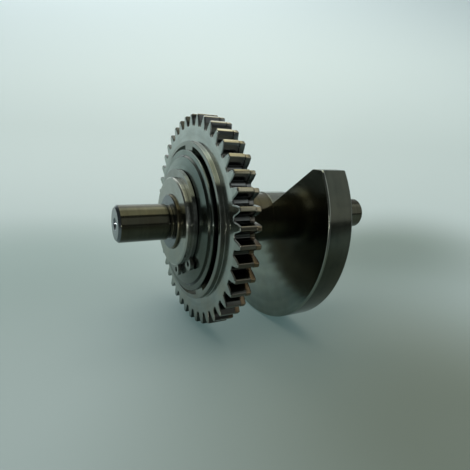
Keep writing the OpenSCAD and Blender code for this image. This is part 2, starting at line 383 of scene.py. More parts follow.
class NodeWriter:
    """Short way to write the nodes of a shader or geometry tree."""

    def __init__(self, tree: bpy.types.NodeTree) -> None:
        """Keep the tree that the nodes go into."""
        self.tree = tree

    def add(self, kind: str, settings: dict[str, object] | None = None,
            **inputs: object) -> bpy.types.Node:
        """Add a node.

        Args:
            kind: Blender's name of the node type.
            settings: Properties of the node itself.
            **inputs: Values or output sockets for the inputs, by name with _ for a space; an input
                whose name repeats is given as its number after an n, such as n0.

        Returns:
            The new node.
        """
        node = self.tree.nodes.new(kind)
        for key, value in (settings or {}).items():
            setattr(node, key, value)
        for key, value in inputs.items():
            numbered = key[0] == "n" and key[1:].isdigit()
            self.feed(node.inputs[int(key[1:]) if numbered else key.replace("_", " ")], value)
        return node

    def feed(self, socket: Socket, value: object) -> None:
        """Give an input socket a value, or link it to an output.

        Args:
            socket: The input.
            value: A plain value or an output socket.
        """
        if isinstance(value, Socket):
            self.tree.links.new(value, socket)
        else:
            socket.default_value = value

    def group(self, tree: bpy.types.NodeTree, **inputs: object) -> bpy.types.Node:
        """Add a shared group, with values for its inputs as in add."""
        return self.add("ShaderNodeGroup", {"node_tree": tree}, **inputs)

    def math(self, operation: str, first: object, second: object = 0.0) -> Socket:
        """Return the result of a two-value sum, product or other operation."""
        return self.add("ShaderNodeMath", {"operation": operation}, n0=first, n1=second).outputs[0]

    def spread(self, value: object, low: float, high: float) -> Socket:
        """Return 0 to 1 as a value goes smoothly from one end of a range to the other, held at its ends."""
        smooth = {"interpolation_type": "SMOOTHSTEP"}
        return self.add("ShaderNodeMapRange", smooth, n0=value, n1=low, n2=high, n3=0.0, n4=1.0).outputs[0]

    def mix(self, amount: object, first: object, second: object, blend: str = "MIX") -> Socket:
        """Mix two colours.

        Args:
            amount: Share of the second colour.
            first: A colour or an output socket.
            second: A colour or an output socket.
            blend: Blender's name of the way to mix.

        Returns:
            The mixed colour.
        """
        node = self.add("ShaderNodeMix", {"data_type": "RGBA", "blend_type": blend})
        self.feed(node.inputs[0], amount)
        for index, colour in ((6, first), (7, second)):
            self.feed(node.inputs[index], colour if isinstance(colour, Socket) else (*colour, 1.0))
        return node.outputs[2]


@dataclass
class SurfaceEffects:
    """Shader groups that several finishes share, each built once. Zones across the shaft are in metres."""

    ring_slant: float = 0.83
    ring_wobble: float = 90.0
    band_share: float = 0.07
    oil_zone: Point = (30.0 * MM, -42.0 * MM)
    oil_patches: Point = (0.36, 0.66)
    oil_least: float = 0.25
    low_zone: Point = (24.0 * MM, -6.0 * MM)
    scratch_turn: Place = (0.5, 0.3, 0.9)
    scratch_stretch: Place = (1.0, 14.0, 5.0)
    scratch_mask: Point = (0.52, 0.72)
    steep: Point = (0.85, 0.5)
    root_fade_mm: Point = (-0.5, -0.2)
    tip_fade_mm: Point = (0.30, 0.12)
    middle_fade_mm: Point = (-0.1, 0.1)
    # The far side and the far outer edge, where the gears get painted shade.
    far_zone: Point = (-6.0 * MM, 8.0 * MM)
    edge_zone: Point = (16.0 * MM, 34.0 * MM)
    tool_rings: bpy.types.NodeTree = field(init=False)
    oil_film: bpy.types.NodeTree = field(init=False)
    handling: bpy.types.NodeTree = field(init=False)
    tooth_zones: bpy.types.NodeTree = field(init=False)

    def __post_init__(self) -> None:
        """Build all the groups."""
        self.tool_rings = self._tool_rings()
        self.oil_film = self._oil_film()
        self.handling = self._handling()
        self.tooth_zones = self._tooth_zones()

    @staticmethod
    def _new(name: str, inputs: dict[str, float], outputs: Sequence[str]) -> tuple[
            NodeWriter, bpy.types.Node, bpy.types.Node]:
        """Start a group with plain number sockets.

        Args:
            name: Name of the group.
            inputs: Input names with their first values.
            outputs: Output names.

        Returns:
            A writer for the group, its input node and its output node.
        """
        group = bpy.data.node_groups.new(name, "ShaderNodeTree")
        for label, value in inputs.items():
            socket = group.interface.new_socket(label, in_out="INPUT", socket_type="NodeSocketFloat")
            socket.default_value = value
        for label in outputs:
            group.interface.new_socket(label, in_out="OUTPUT", socket_type="NodeSocketFloat")
        write = NodeWriter(group)
        return write, write.add("NodeGroupInput"), write.add("NodeGroupOutput")

    @staticmethod
    def _radius(write: NodeWriter, parts: bpy.types.Node) -> Socket:
        """Work out the distance from the shaft axis.

        Args:
            write: Writer of the group.
            parts: The node that splits the place into X, Y and Z.

        Returns:
            The distance in metres.
        """
        square_y = write.math("MULTIPLY", parts.outputs["Y"], parts.outputs["Y"])
        square_z = write.math("MULTIPLY", parts.outputs["Z"], parts.outputs["Z"])
        return write.math("SQRT", write.math("ADD", square_y, square_z))

    def _tool_rings(self) -> bpy.types.NodeTree:
        """Return the fine rings that a lathe or grinding wheel leaves round the shaft axis."""
        write, start, end = self._new(
            "tool_rings", {"Rings per mm": 6.0, "Waviness": 0.3}, ["Lines", "Bands"])
        place_at = write.add("ShaderNodeTexCoord").outputs["Object"]
        parts = write.add("ShaderNodeSeparateXYZ", n0=place_at)
        along = write.math("ADD", self._radius(write, parts),
                           write.math("MULTIPLY", parts.outputs["X"], self.ring_slant))
        wobble = write.add("ShaderNodeTexNoise", {"noise_dimensions": "3D"}, Vector=place_at,
                           Scale=self.ring_wobble, Detail=2.0)
        shift = write.math("MULTIPLY", write.math("SUBTRACT", wobble.outputs[0], 0.5),
                           write.math("MULTIPLY", start.outputs["Waviness"], MM))
        steps = write.math("MULTIPLY", write.math("ADD", along, shift),
                           write.math("MULTIPLY", start.outputs["Rings per mm"], 1 / MM))
        lines = write.add("ShaderNodeTexNoise", {"noise_dimensions": "1D"}, W=steps, Scale=1.0,
                          Detail=3.0, Roughness=0.6)
        bands = write.add("ShaderNodeTexNoise", {"noise_dimensions": "1D"},
                          W=write.math("MULTIPLY", steps, self.band_share), Scale=1.0, Detail=2.0)
        write.feed(end.inputs["Lines"], lines.outputs[0])
        write.feed(end.inputs["Bands"], bands.outputs[0])
        return write.tree

    def _oil_film(self) -> bpy.types.NodeTree:
        """Return a thin, uneven oil film that gathers on the lower side."""
        write, start, end = self._new("oil_film", {"Amount": 0.5, "Patch mm": 9.0}, ["Film", "Low"])
        place_at = write.add("ShaderNodeTexCoord").outputs["Object"]
        height = write.add("ShaderNodeSeparateXYZ", n0=place_at).outputs["Z"]
        scale = write.math("DIVIDE", 1 / MM, start.outputs["Patch mm"])
        patches = write.add("ShaderNodeTexNoise", Vector=place_at, Scale=scale, Detail=4.0,
                            Roughness=0.55)
        patch = write.spread(patches.outputs[0], *self.oil_patches)
        gathered = write.math("MULTIPLY", write.spread(height, *self.oil_zone), 1 - self.oil_least)
        share = write.math("ADD", self.oil_least, gathered)
        film = write.math("MULTIPLY", write.math("MULTIPLY", patch, share), start.outputs["Amount"])
        write.feed(end.inputs["Film"], film)
        # Low marks the lower side; the finishes lay painted shade with it.
        write.feed(end.inputs["Low"], write.spread(height, *self.low_zone))
        return write.tree

    def _handling(self) -> bpy.types.NodeTree:
        """Return fine scratches and a soft mottle from use."""
        write, start, end = self._new(
            "handling", {"Scratch mm": 1.2, "Mottle mm": 7.0}, ["Scratches", "Mottle"])
        place_at = write.add("ShaderNodeTexCoord").outputs["Object"]
        turned = write.add("ShaderNodeMapping", Vector=place_at, Rotation=self.scratch_turn,
                           Scale=self.scratch_stretch)
        fine = write.add("ShaderNodeTexNoise", Vector=turned.outputs[0],
                         Scale=write.math("DIVIDE", 0.1 / MM, start.outputs["Scratch mm"]),
                         Detail=6.0, Roughness=0.7)
        soft = write.add("ShaderNodeTexNoise", Vector=place_at,
                         Scale=write.math("DIVIDE", 1 / MM, start.outputs["Mottle mm"]), Detail=3.0)
        write.feed(end.inputs["Scratches"], write.spread(fine.outputs[0], *self.scratch_mask))
        write.feed(end.inputs["Mottle"], soft.outputs[0])
        return write.tree

    def _tooth_zones(self) -> bpy.types.NodeTree:
        """Return masks of a toothed wheel: flanks, tips, the middle, the far side and its outer edge."""
        write, start, end = self._new(
            "tooth_zones", {"Root mm": 39.5, "Tip mm": 44.0, "Middle mm": 33.3},
            ["Flank", "Tip", "Middle", "Far", "Edge"])
        spots = write.add("ShaderNodeTexCoord")
        parts = write.add("ShaderNodeSeparateXYZ", n0=spots.outputs["Object"])
        facing = write.add("ShaderNodeSeparateXYZ", n0=spots.outputs["Normal"])
        radius = write.math("DIVIDE", self._radius(write, parts), MM)
        sideways = write.spread(write.math("ABSOLUTE", facing.outputs["X"]), *self.steep)
        above_root = write.math("SUBTRACT", radius, start.outputs["Root mm"])
        below_tip = write.math("SUBTRACT", start.outputs["Tip mm"], radius)
        inside = write.math("SUBTRACT", start.outputs["Middle mm"], radius)
        masks = {
            "Flank": write.math("MULTIPLY", sideways, write.spread(above_root, *self.root_fade_mm)),
            "Tip": write.math("MULTIPLY", sideways, write.spread(below_tip, *self.tip_fade_mm)),
            "Middle": write.spread(inside, *self.middle_fade_mm),
            "Far": write.spread(parts.outputs["Y"], *self.far_zone),
            "Edge": write.spread(parts.outputs["Y"], *self.edge_zone),
        }
        for label, mask in masks.items():
            write.feed(end.inputs[label], mask)
        return write.tree


@dataclass(frozen=True)
class SteelFinish:
    """One steel surface: its tones, its gloss, its tool marks and the oil on it."""

    name: str
    light: Colour
    dark: Colour
    oil: Colour
    rough_low: float
    rough_high: float
    rings_per_mm: float
    ring_height: float
    oil_amount: float
    oil_patch: float = 9.0
    scratch: float = 0.06
    scratch_depth: float = 0.35
    coat: float = 0.0
    coat_rough: float = 0.12
    brushed: float = 0.5
    brush_turn: float = 0.25
    # Colour that multiplies the lower side: painted shade.
    low_side_shade: Colour = (1.0, 1.0, 1.0)
    metallic: float = 1.0
    mottle_share: float = 0.6
    tone_span: Point = (0.35, 0.65)

    def build(self, effects: SurfaceEffects) -> bpy.types.Material:
        """Write the material's nodes.

        Args:
            effects: The shared shader groups.

        Returns:
            The material.
        """
        material = bpy.data.materials.new(self.name)
        material.use_nodes = True
        shader = material.node_tree.nodes["Principled BSDF"]
        write = NodeWriter(material.node_tree)
        rings = write.group(effects.tool_rings, Rings_per_mm=self.rings_per_mm).outputs
        film = write.group(effects.oil_film, Amount=self.oil_amount, Patch_mm=self.oil_patch).outputs
        use = write.group(effects.handling).outputs

        bands = write.math("MULTIPLY", rings["Bands"], 1 - self.mottle_share)
        tone = write.math("ADD", write.math("MULTIPLY", use["Mottle"], self.mottle_share), bands)
        metal = write.mix(write.spread(tone, *self.tone_span), self.dark, self.light)
        oiled = write.mix(film["Film"], metal, self.oil)
        # Painted shade: the lower side is darkened.
        shaded_low = write.mix(film["Low"], oiled, self.low_side_shade, "MULTIPLY")

        uneven = write.math("ADD", write.math("MULTIPLY", rings["Lines"], 0.5),
                            write.math("MULTIPLY", use["Mottle"], 0.5))
        span = self.rough_high - self.rough_low
        rough = write.math("ADD", self.rough_low, write.math("MULTIPLY", uneven, span))
        scuffs = write.math("MULTIPLY", use["Scratches"], self.scratch)

        grooves = write.math("MULTIPLY", use["Scratches"], -self.scratch_depth)
        height = write.math("ADD", rings["Lines"], grooves)
        bump = write.add("ShaderNodeBump", Strength=1.0, Distance=self.ring_height * MM, Height=height)
        round_axis = write.add("ShaderNodeTangent", {"direction_type": "RADIAL", "axis": "X"})
        surface = {
            "Base Color": self._zoned(write, effects, shaded_low, film["Low"]),
            "Metallic": self.metallic,
            "Roughness": write.math("ADD", rough, scuffs),
            "Normal": bump.outputs[0],
            "Tangent": round_axis.outputs[0],
            "Anisotropic": self.brushed,
            "Anisotropic Rotation": self.brush_turn,
            "Coat Weight": write.math("MULTIPLY", film["Film"], self.coat),
            "Coat Roughness": self.coat_rough,
        }
        for label, value in surface.items():
            write.feed(shader.inputs[label], value)
        return material

    def _zoned(self, write: NodeWriter, effects: SurfaceEffects, colour: Socket, low: Socket) -> Socket:
        """Return the colour as it is, because a plain surface has one zone."""
        return colour


@dataclass(frozen=True)
class GearFinish(SteelFinish):
    """Steel of a toothed wheel: worn tips, flanks in painted shade, painted shade on the teeth low down and
    far off and on the face's far edge, and a darker middle.
    """

    # Flank colour: painted shade in the tooth gaps. The darker flank and tip colours: painted shade low down
    # and on the far side.
    flank: Colour = (0.15, 0.16, 0.16)
    flank_in_shade: Colour = (0.05, 0.053, 0.047)
    tip: Colour = (0.32, 0.30, 0.22)
    tip_in_shade: Colour = (0.13, 0.12, 0.10)
    # Multiplies the colour inside middle_mm: painted shade on the sub gear's back web; on the main gear it
    # darkens all inside the boss.
    middle: Colour = (0.62, 0.62, 0.60)
    middle_mm: float = 33.3
    # Painted shade on the face's far outer edge.
    edge: Colour = (0.66, 0.71, 0.68)

    def _zoned(self, write: NodeWriter, effects: SurfaceEffects, colour: Socket, low: Socket) -> Socket:
        """Give the tips their worn tone, paint shade on the flanks, on the teeth low down and far off and on
        the far edge, and darken the middle.

        Args:
            write: Writer of the material.
            effects: The shared shader groups.
            colour: The colour without zones.
            low: Mask of the lower side.

        Returns:
            The colour with its zones.
        """
        zones = write.group(effects.tooth_zones, Middle_mm=self.middle_mm).outputs
        # Darker inside middle_mm: painted shade on the sub gear's back web, and all inside the boss on the
        # main gear.
        darkened = write.mix(zones["Middle"], colour, self.middle, "MULTIPLY")
        # Painted shade on the face's far outer edge.
        darkened = write.mix(zones["Edge"], darkened, self.edge, "MULTIPLY")
        # Painted shade on the lower side and the far side of the teeth.
        shaded_side = write.math("MAXIMUM", low, zones["Far"])
        # The flank colours are painted shade.
        flanks = write.mix(zones["Flank"], darkened, write.mix(shaded_side, self.flank, self.flank_in_shade))
        return write.mix(zones["Tip"], flanks, write.mix(shaded_side, self.tip, self.tip_in_shade))


@dataclass(frozen=True)
class PlateFinish(SteelFinish):
    """Steel of the dished plate, with a painted shade line along the foot of its step."""

    step_mm: Point = (26.6, 27.5)
    step_shade: Colour = (0.30, 0.30, 0.28)

    def _zoned(self, write: NodeWriter, effects: SurfaceEffects, colour: Socket, low: Socket) -> Socket:
        """Give the step a ring of painted shade.

        Args:
            write: Writer of the material.
            effects: The shared shader groups.
            colour: The colour without zones.
            low: Mask of the lower side, which the ring doesn't need.

        Returns:
            The colour with its ring.
        """
        inner, outer = (write.group(effects.tooth_zones, Middle_mm=radius).outputs["Middle"]
                        for radius in self.step_mm)
        # Painted shade line at the foot of the step.
        return write.mix(write.math("SUBTRACT", outer, inner), colour, self.step_shade, "MULTIPLY")


class Finish(Enum):
    """The finishes that the part's pieces carry."""

    GROUND = SteelFinish(
        "ground_journal", light=(0.076, 0.078, 0.056), dark=(0.055, 0.056, 0.041), oil=(0.10, 0.075, 0.035),
        rough_low=0.12, rough_high=0.22, rings_per_mm=14.0, ring_height=0.003, oil_amount=0.3, coat=0.2)
    TURNED = SteelFinish(
        "turned_steel", light=(0.115, 0.11, 0.075), dark=(0.075, 0.073, 0.052), oil=(0.14, 0.10, 0.045),
        rough_low=0.12, rough_high=0.26, rings_per_mm=7.0, ring_height=0.008, oil_amount=0.6, coat=0.2)
    FACED = SteelFinish(
        "faced_end", light=(0.165, 0.19, 0.21), dark=(0.13, 0.15, 0.165), oil=(0.15, 0.14, 0.11),
        rough_low=0.14, rough_high=0.26, rings_per_mm=6.0, ring_height=0.006, oil_amount=0.3, coat=0.2)
    FORGED = SteelFinish(
        "counterweight_face", light=(0.315, 0.345, 0.305), dark=(0.25, 0.275, 0.25), oil=(0.21, 0.175, 0.105),
        rough_low=0.10, rough_high=0.20, rings_per_mm=3.5, ring_height=0.002, oil_amount=0.25,
        oil_patch=16.0, coat=0.15, brushed=0.0)
    RIM = SteelFinish(
        "counterweight_rim", light=(0.072, 0.082, 0.066), dark=(0.053, 0.060, 0.049), oil=(0.10, 0.085, 0.05),
        rough_low=0.12, rough_high=0.24, rings_per_mm=3.5, ring_height=0.003, oil_amount=0.4,
        oil_patch=14.0, coat=0.15)
    HUB = SteelFinish(
        "hub_steel", light=(0.36, 0.38, 0.35), dark=(0.28, 0.30, 0.275), oil=(0.27, 0.23, 0.14),
        rough_low=0.12, rough_high=0.22, rings_per_mm=6.0, ring_height=0.006, oil_amount=0.35, coat=0.2)
    GEAR = GearFinish(
        "gear_steel", light=(0.50, 0.545, 0.52), dark=(0.39, 0.43, 0.41), oil=(0.33, 0.27, 0.15),
        rough_low=0.10, rough_high=0.22, rings_per_mm=5.0, ring_height=0.004, oil_amount=0.4, coat=0.2,
        # Lower side darkened: painted shade.
        low_side_shade=(0.74, 0.74, 0.73))
    SUB_GEAR = GearFinish(
        "sub_gear_steel", light=(0.42, 0.43, 0.38), dark=(0.30, 0.31, 0.27), oil=(0.40, 0.25, 0.10),
        rough_low=0.10, rough_high=0.24, rings_per_mm=5.0, ring_height=0.004, oil_amount=0.8, coat=0.2,
        # Darker flank and tip colours: painted shade low down and far off.
        flank_in_shade=(0.10, 0.075, 0.045), tip=(0.30, 0.275, 0.20), tip_in_shade=(0.17, 0.13, 0.08),
        # Back web inside the teeth darkened: painted shade.
        middle=(0.26, 0.24, 0.20), middle_mm=39.6)
    PLATE = PlateFinish(
        "phosphated_plate", light=(0.24, 0.29, 0.27), dark=(0.17, 0.21, 0.19), oil=(0.15, 0.155, 0.10),
        rough_low=0.12, rough_high=0.24, rings_per_mm=4.0, ring_height=0.005, oil_amount=0.4, coat=0.2,
        # Lower side darkened: painted shade.
        low_side_shade=(0.40, 0.40, 0.37))
    CLIP = SteelFinish(
        "clip_steel", light=(0.30, 0.32, 0.30), dark=(0.20, 0.215, 0.20), oil=(0.19, 0.17, 0.11),
        rough_low=0.10, rough_high=0.22, rings_per_mm=3.0, ring_height=0.004, oil_amount=0.4, coat=0.2)
    # A darker copy of the hub steel for the hub's rear behind the main gear: painted shade.
    SHADED_HUB = SteelFinish(
        "hub_steel_in_shade", light=(0.11, 0.11, 0.10), dark=(0.08, 0.08, 0.07), oil=(0.10, 0.075, 0.04),
        rough_low=0.16, rough_high=0.30, rings_per_mm=6.0, ring_height=0.006, oil_amount=0.8, coat=0.2)
    GREASE = SteelFinish(
        "old_grease", light=(0.40, 0.43, 0.40), dark=(0.32, 0.35, 0.32), oil=(0.30, 0.30, 0.24),
        rough_low=0.45, rough_high=0.60, rings_per_mm=3.0, ring_height=0.004, oil_amount=0.3, brushed=0.0,
        # Lower side darkened nearly to black: painted shade.
        low_side_shade=(0.04, 0.04, 0.04), metallic=0.0)
    WIRE = SteelFinish(
        "spring_wire", light=(0.34, 0.35, 0.35), dark=(0.24, 0.25, 0.26), oil=(0.22, 0.19, 0.12),
        rough_low=0.25, rough_high=0.40, rings_per_mm=8.0, ring_height=0.004, oil_amount=0.4)


class FinishShelf:
    """Builds each finish once and hands out its material."""

    def __init__(self) -> None:
        """Build the shared effects and start with no finish."""
        self.effects = SurfaceEffects()
        self.made: dict[Finish, bpy.types.Material] = {}

    def take(self, finish: Finish) -> bpy.types.Material:
        """Hand out a finish.

        Args:
            finish: The finish.

        Returns:
            Its material, built at the first call.
        """
        if finish not in self.made:
            self.made[finish] = finish.value.build(self.effects)
        return self.made[finish]


# Pieces


@dataclass
class BalanceShaft:
    """The shaft with its counterweight, one piece. Sizes in metres, angles in degrees."""

    journal_r: float = 7.5 * MM
    body_r: float = 11.5 * MM
    relief_r: float = 6.9 * MM
    relief_w: float = 1.8 * MM
    nose_front: float = -9.9 * MM
    shoulder_front: float = 11.3 * MM
    shoulder_w: float = 3.0 * MM
    shoulder_r: float = 14.0 * MM
    weight_front: float = 35.6 * MM
    weight_back: float = 47.5 * MM
    tail_end: float = 73.6 * MM
    chamfer: float = 1.0 * MM
    hub_r: float = 12.0 * MM
    weight_turn: float = 8.5
    wing_angle: float = 25.8
    wing_offset: float = 1.8 * MM
    tip_offset: float = 25.4 * MM
    tip_slope: float = 8.5
    wing_corner: float = 2.5 * MM
    rim_chamfer: float = 0.8 * MM
    side_chamfer: float = 0.3 * MM
    inset: float = 0.05 * MM
    centre_r: float = 2.5 * MM
    centre_depth: float = 6.0 * MM
    centre_slope: float = 30.0
    drill_point: float = 0.6
    edge_round: float = 0.25 * MM
    segments: int = 144
    corner_steps: int = 8
    rim_steps: int = 170
    finishes: tuple[Finish, ...] = (Finish.GROUND, Finish.TURNED, Finish.FACED, Finish.FORGED, Finish.RIM)
    left_end: float = field(init=False)
    right_end: float = field(init=False)
    weight_r: float = field(init=False)

    def __post_init__(self) -> None:
        """Take the ends and the counterweight's radius from the frame."""
        low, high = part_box("balance_shaft")
        self.left_end = low[0]
        self.right_end = high[0]
        self.weight_r = -low[2]

    def _finish_at(self, radius: float, x: float) -> int:
        """Choose the finish of the turned surface at a place.

        Args:
            radius: Distance from the axis.
            x: Place along the shaft.

        Returns:
            The material slot.
        """
        if self.weight_front < x < self.weight_back:
            finish = Finish.FORGED
        elif abs(x - self.nose_front) < self.inset and radius > self.relief_r:
            finish = Finish.FACED
        elif self.nose_front - self.relief_w < x < self.tail_end + self.relief_w:
            finish = Finish.TURNED
        else:
            finish = Finish.GROUND if radius > self.journal_r - self.edge_round else Finish.FACED
        return self.finishes.index(finish)

    def _end_profile(self, end: float, inward: float) -> list[Point]:
        """Draw a shaft end with its lathe centre.

        Args:
            end: Place of the end along the shaft.
            inward: 1 where the shaft lies on the side of rising x, or -1.

        Returns:
            The profile from the axis to the journal's chamfer.
        """
        pilot = self.centre_r / 2
        sink = (self.centre_r - pilot) / math.tan(math.radians(self.centre_slope))
        return [
            (0, end + inward * (self.centre_depth + pilot * self.drill_point)),
            (pilot, end + inward * self.centre_depth),
            (pilot, end + inward * sink),
            (self.centre_r, end),
            (self.journal_r - self.chamfer, end),
            (self.journal_r, end + inward * self.chamfer),
        ]

    def _profile(self) -> list[Point]:
        """Return the turned outline from the left end to the right end, with the counterweight's hub."""
        half = self.chamfer / 2
        depth = self.journal_r - self.relief_r
        shoulder_back = self.shoulder_front + self.shoulder_w
        outline = self._end_profile(self.left_end, 1) + [
            (self.journal_r, self.nose_front - self.relief_w),
            (self.relief_r, self.nose_front - self.relief_w + depth),
            (self.relief_r, self.nose_front),
            (self.body_r - half, self.nose_front),
            (self.body_r, self.nose_front + half),
            (self.body_r, self.shoulder_front),
            (self.shoulder_r - half, self.shoulder_front),
            (self.shoulder_r, self.shoulder_front + half),
            (self.shoulder_r, shoulder_back),
            (self.body_r, shoulder_back + self.shoulder_r - self.body_r),
            (self.body_r, self.weight_front + self.inset),
            (self.hub_r, self.weight_front + self.inset),
            (self.hub_r, self.weight_back - self.inset),
            (self.body_r, self.weight_back - self.inset),
            (self.body_r, self.tail_end - half),
            (self.body_r - half, self.tail_end),
            (self.relief_r, self.tail_end),
            (self.relief_r, self.tail_end + self.relief_w - depth),
            (self.journal_r, self.tail_end + self.relief_w),
        ]
        return rounded(outline + self._end_profile(self.right_end, -1)[::-1], self.edge_round)

    def _fan(self) -> tuple[list[Point], list[float]]:
        """Return the counterweight's outline, anticlockwise, and the chamfer of each of its sides."""
        side_normal = 90 + self.wing_angle
        tip_normal = 90 - self.tip_slope
        inner_side = self.wing_offset - self.wing_corner
        inner_tip = self.tip_offset - self.wing_corner
        spread = math.sin(math.radians(tip_normal - side_normal))
        cos_side, sin_side = polar(1, side_normal)
        cos_tip, sin_tip = polar(1, tip_normal)
        centre = ((inner_side * sin_tip - inner_tip * sin_side) / spread,
                  (inner_tip * cos_side - inner_side * cos_tip) / spread)
        wing = arc(centre, self.wing_corner, tip_normal, side_normal, self.corner_steps)
        meet = (0.0, self.wing_offset / math.cos(math.radians(self.wing_angle)))
        other = [(-y, z) for y, z in reversed(wing)]
        reach = math.sqrt(self.weight_r ** 2 - self.tip_offset ** 2)
        tip_angle = tip_normal - math.degrees(math.atan2(reach, self.tip_offset))
        rim = arc((0, 0), self.weight_r, 180 - tip_angle, 360 + tip_angle, self.rim_steps)
        sides = wing + [meet] + other
        chamfers = [self.side_chamfer] * len(sides) + [self.rim_chamfer] * (len(rim) - 1)
        turn = Matrix.Rotation(math.radians(-self.weight_turn), 2)
        return [tuple(turn @ Vector(spot)) for spot in sides + rim], chamfers + [self.side_chamfer]

    def _weight(self) -> bpy.types.Object:
        """Return the counterweight alone, as a closed plate with chamfered edges."""
        mesh = bmesh.new()
        loop, chamfers = self._fan()
        inner = inset_loop(loop, chamfers)
        part_way = inset_loop(loop, [depth * EASE for depth in chamfers])
        step = self.rim_chamfer
        rings = [
            add_ring(mesh, self.weight_front, inner),
            add_ring(mesh, self.weight_front + EASE * step, part_way),
            add_ring(mesh, self.weight_front + step, loop),
            add_ring(mesh, self.weight_back - step, loop),
            add_ring(mesh, self.weight_back - EASE * step, part_way),
            add_ring(mesh, self.weight_back, inner),
        ]
        face, rim = (self.finishes.index(finish) for finish in (Finish.FORGED, Finish.RIM))
        for first, second, finish in zip(rings, rings[1:], (face, face, rim, rim, rim)):
            join_rings(mesh, first, second, finish)
        for ring in (rings[0], rings[-1]):
            mesh.faces.new(ring).material_index = face
        return finish_mesh(mesh, "counterweight_plate")

    def build(self, shelf: FinishShelf) -> bpy.types.Object:
        """Build the shaft as one closed mesh.

        Args:
            shelf: Where the materials come from.

        Returns:
            The piece.
        """
        mesh = bmesh.new()
        lathe(mesh, self._profile(), self.segments, self._finish_at)
        turned = finish_mesh(mesh, "turned_shaft")
        weight = self._weight()
        for blank in (turned, weight):
            for finish in self.finishes:
                blank.data.materials.append(shelf.take(finish))
        union = turned.modifiers.new("weight", "BOOLEAN")
        union.operation = "UNION"
        union.solver = "EXACT"
        union.object = weight
        piece = baked(turned, "turned_balance_shaft")
        bpy.data.objects.remove(weight)
        return piece


@dataclass
class GearSizes:
    """Involute spur teeth, shared by both gears. Sizes in metres, angles in degrees."""

    teeth: int = 42
    module: float = 2.0 * MM
    root_modules: float = 1.25
    pressure_angle: float = 20.0
    phase: float = 0.84
    stagger: float = 0.4
    tip_round: float = 0.22 * MM
    root_round: float = 0.5 * MM
    end_chamfer: float = 0.6 * MM
    split_chamfer: float = 0.10 * MM
    join_r: float = 36.0 * MM
    flank_steps: int = 6
    curve_steps: int = 3

    @property
    def pitch_r(self) -> float:
        """Radius of the pitch circle."""
        return self.module * self.teeth / 2

    @property
    def tip_r(self) -> float:
        """Radius over the tooth tips."""
        return self.pitch_r + self.module

    @property
    def root_r(self) -> float:
        """Radius at the tooth roots."""
        return self.pitch_r - self.root_modules * self.module

    @property
    def sector(self) -> float:
        """Angle of one tooth and its gap."""
        return 360 / self.teeth

    def _involute(self, radius: float) -> float:
        """Work out the involute of the teeth.

        Args:
            radius: Distance from the axis.

        Returns:
            The involute angle there, in degrees.
        """
        base = self.pitch_r * math.cos(math.radians(self.pressure_angle))
        turn = math.acos(min(1.0, base / radius))
        return math.degrees(math.tan(turn) - turn)

    def half_tooth(self, radius: float) -> float:
        """Return the angle from a tooth's middle to its flank at a radius."""
        return self.sector / 4 + self._involute(self.pitch_r) - self._involute(radius)

    def half_outline(self) -> list[Point]:
        """Return half a tooth from the middle of its tip to the middle of the gap."""
        low_r = self.root_r + self.root_round
        high_r = self.tip_r - self.tip_round
        tip_edge = self.half_tooth(self.tip_r)
        tip_back = math.degrees(self.tip_round / self.tip_r)
        root_edge = self.half_tooth(self.root_r)
        root_ahead = math.degrees(self.root_round / self.root_r)
        corner_tip = [polar(self.tip_r, tip_edge - tip_back), polar(self.tip_r, tip_edge),
                      polar(high_r, self.half_tooth(high_r))]
        corner_root = [polar(low_r, self.half_tooth(low_r)), polar(self.root_r, root_edge),
                       polar(self.root_r, root_edge + root_ahead)]
        flank = []
        for i in range(1, self.flank_steps):
            radius = high_r + (low_r - high_r) * i / self.flank_steps
            flank.append(polar(radius, self.half_tooth(radius)))
        middle = [polar(self.tip_r, 0)]
        gap = [polar(self.root_r, self.sector / 2)]
        return middle + self._corner(corner_tip) + flank + self._corner(corner_root) + gap

    def _corner(self, points: Sequence[Point]) -> list[Point]:
        """Return a rounded corner from its start, its sharp corner and its end."""
        return curve(*(Vector(spot) for spot in points), self.curve_steps)

    def outline(self) -> list[Point]:
        """Return one tooth with half a gap on each side, by rising angle."""
        half = self.half_outline()
        return [(y, -z) for y, z in reversed(half[1:])] + half


HeightAt = Callable[[float, float], float | None]
VertAt = Callable[[float, int, float], bmesh.types.BMVert]


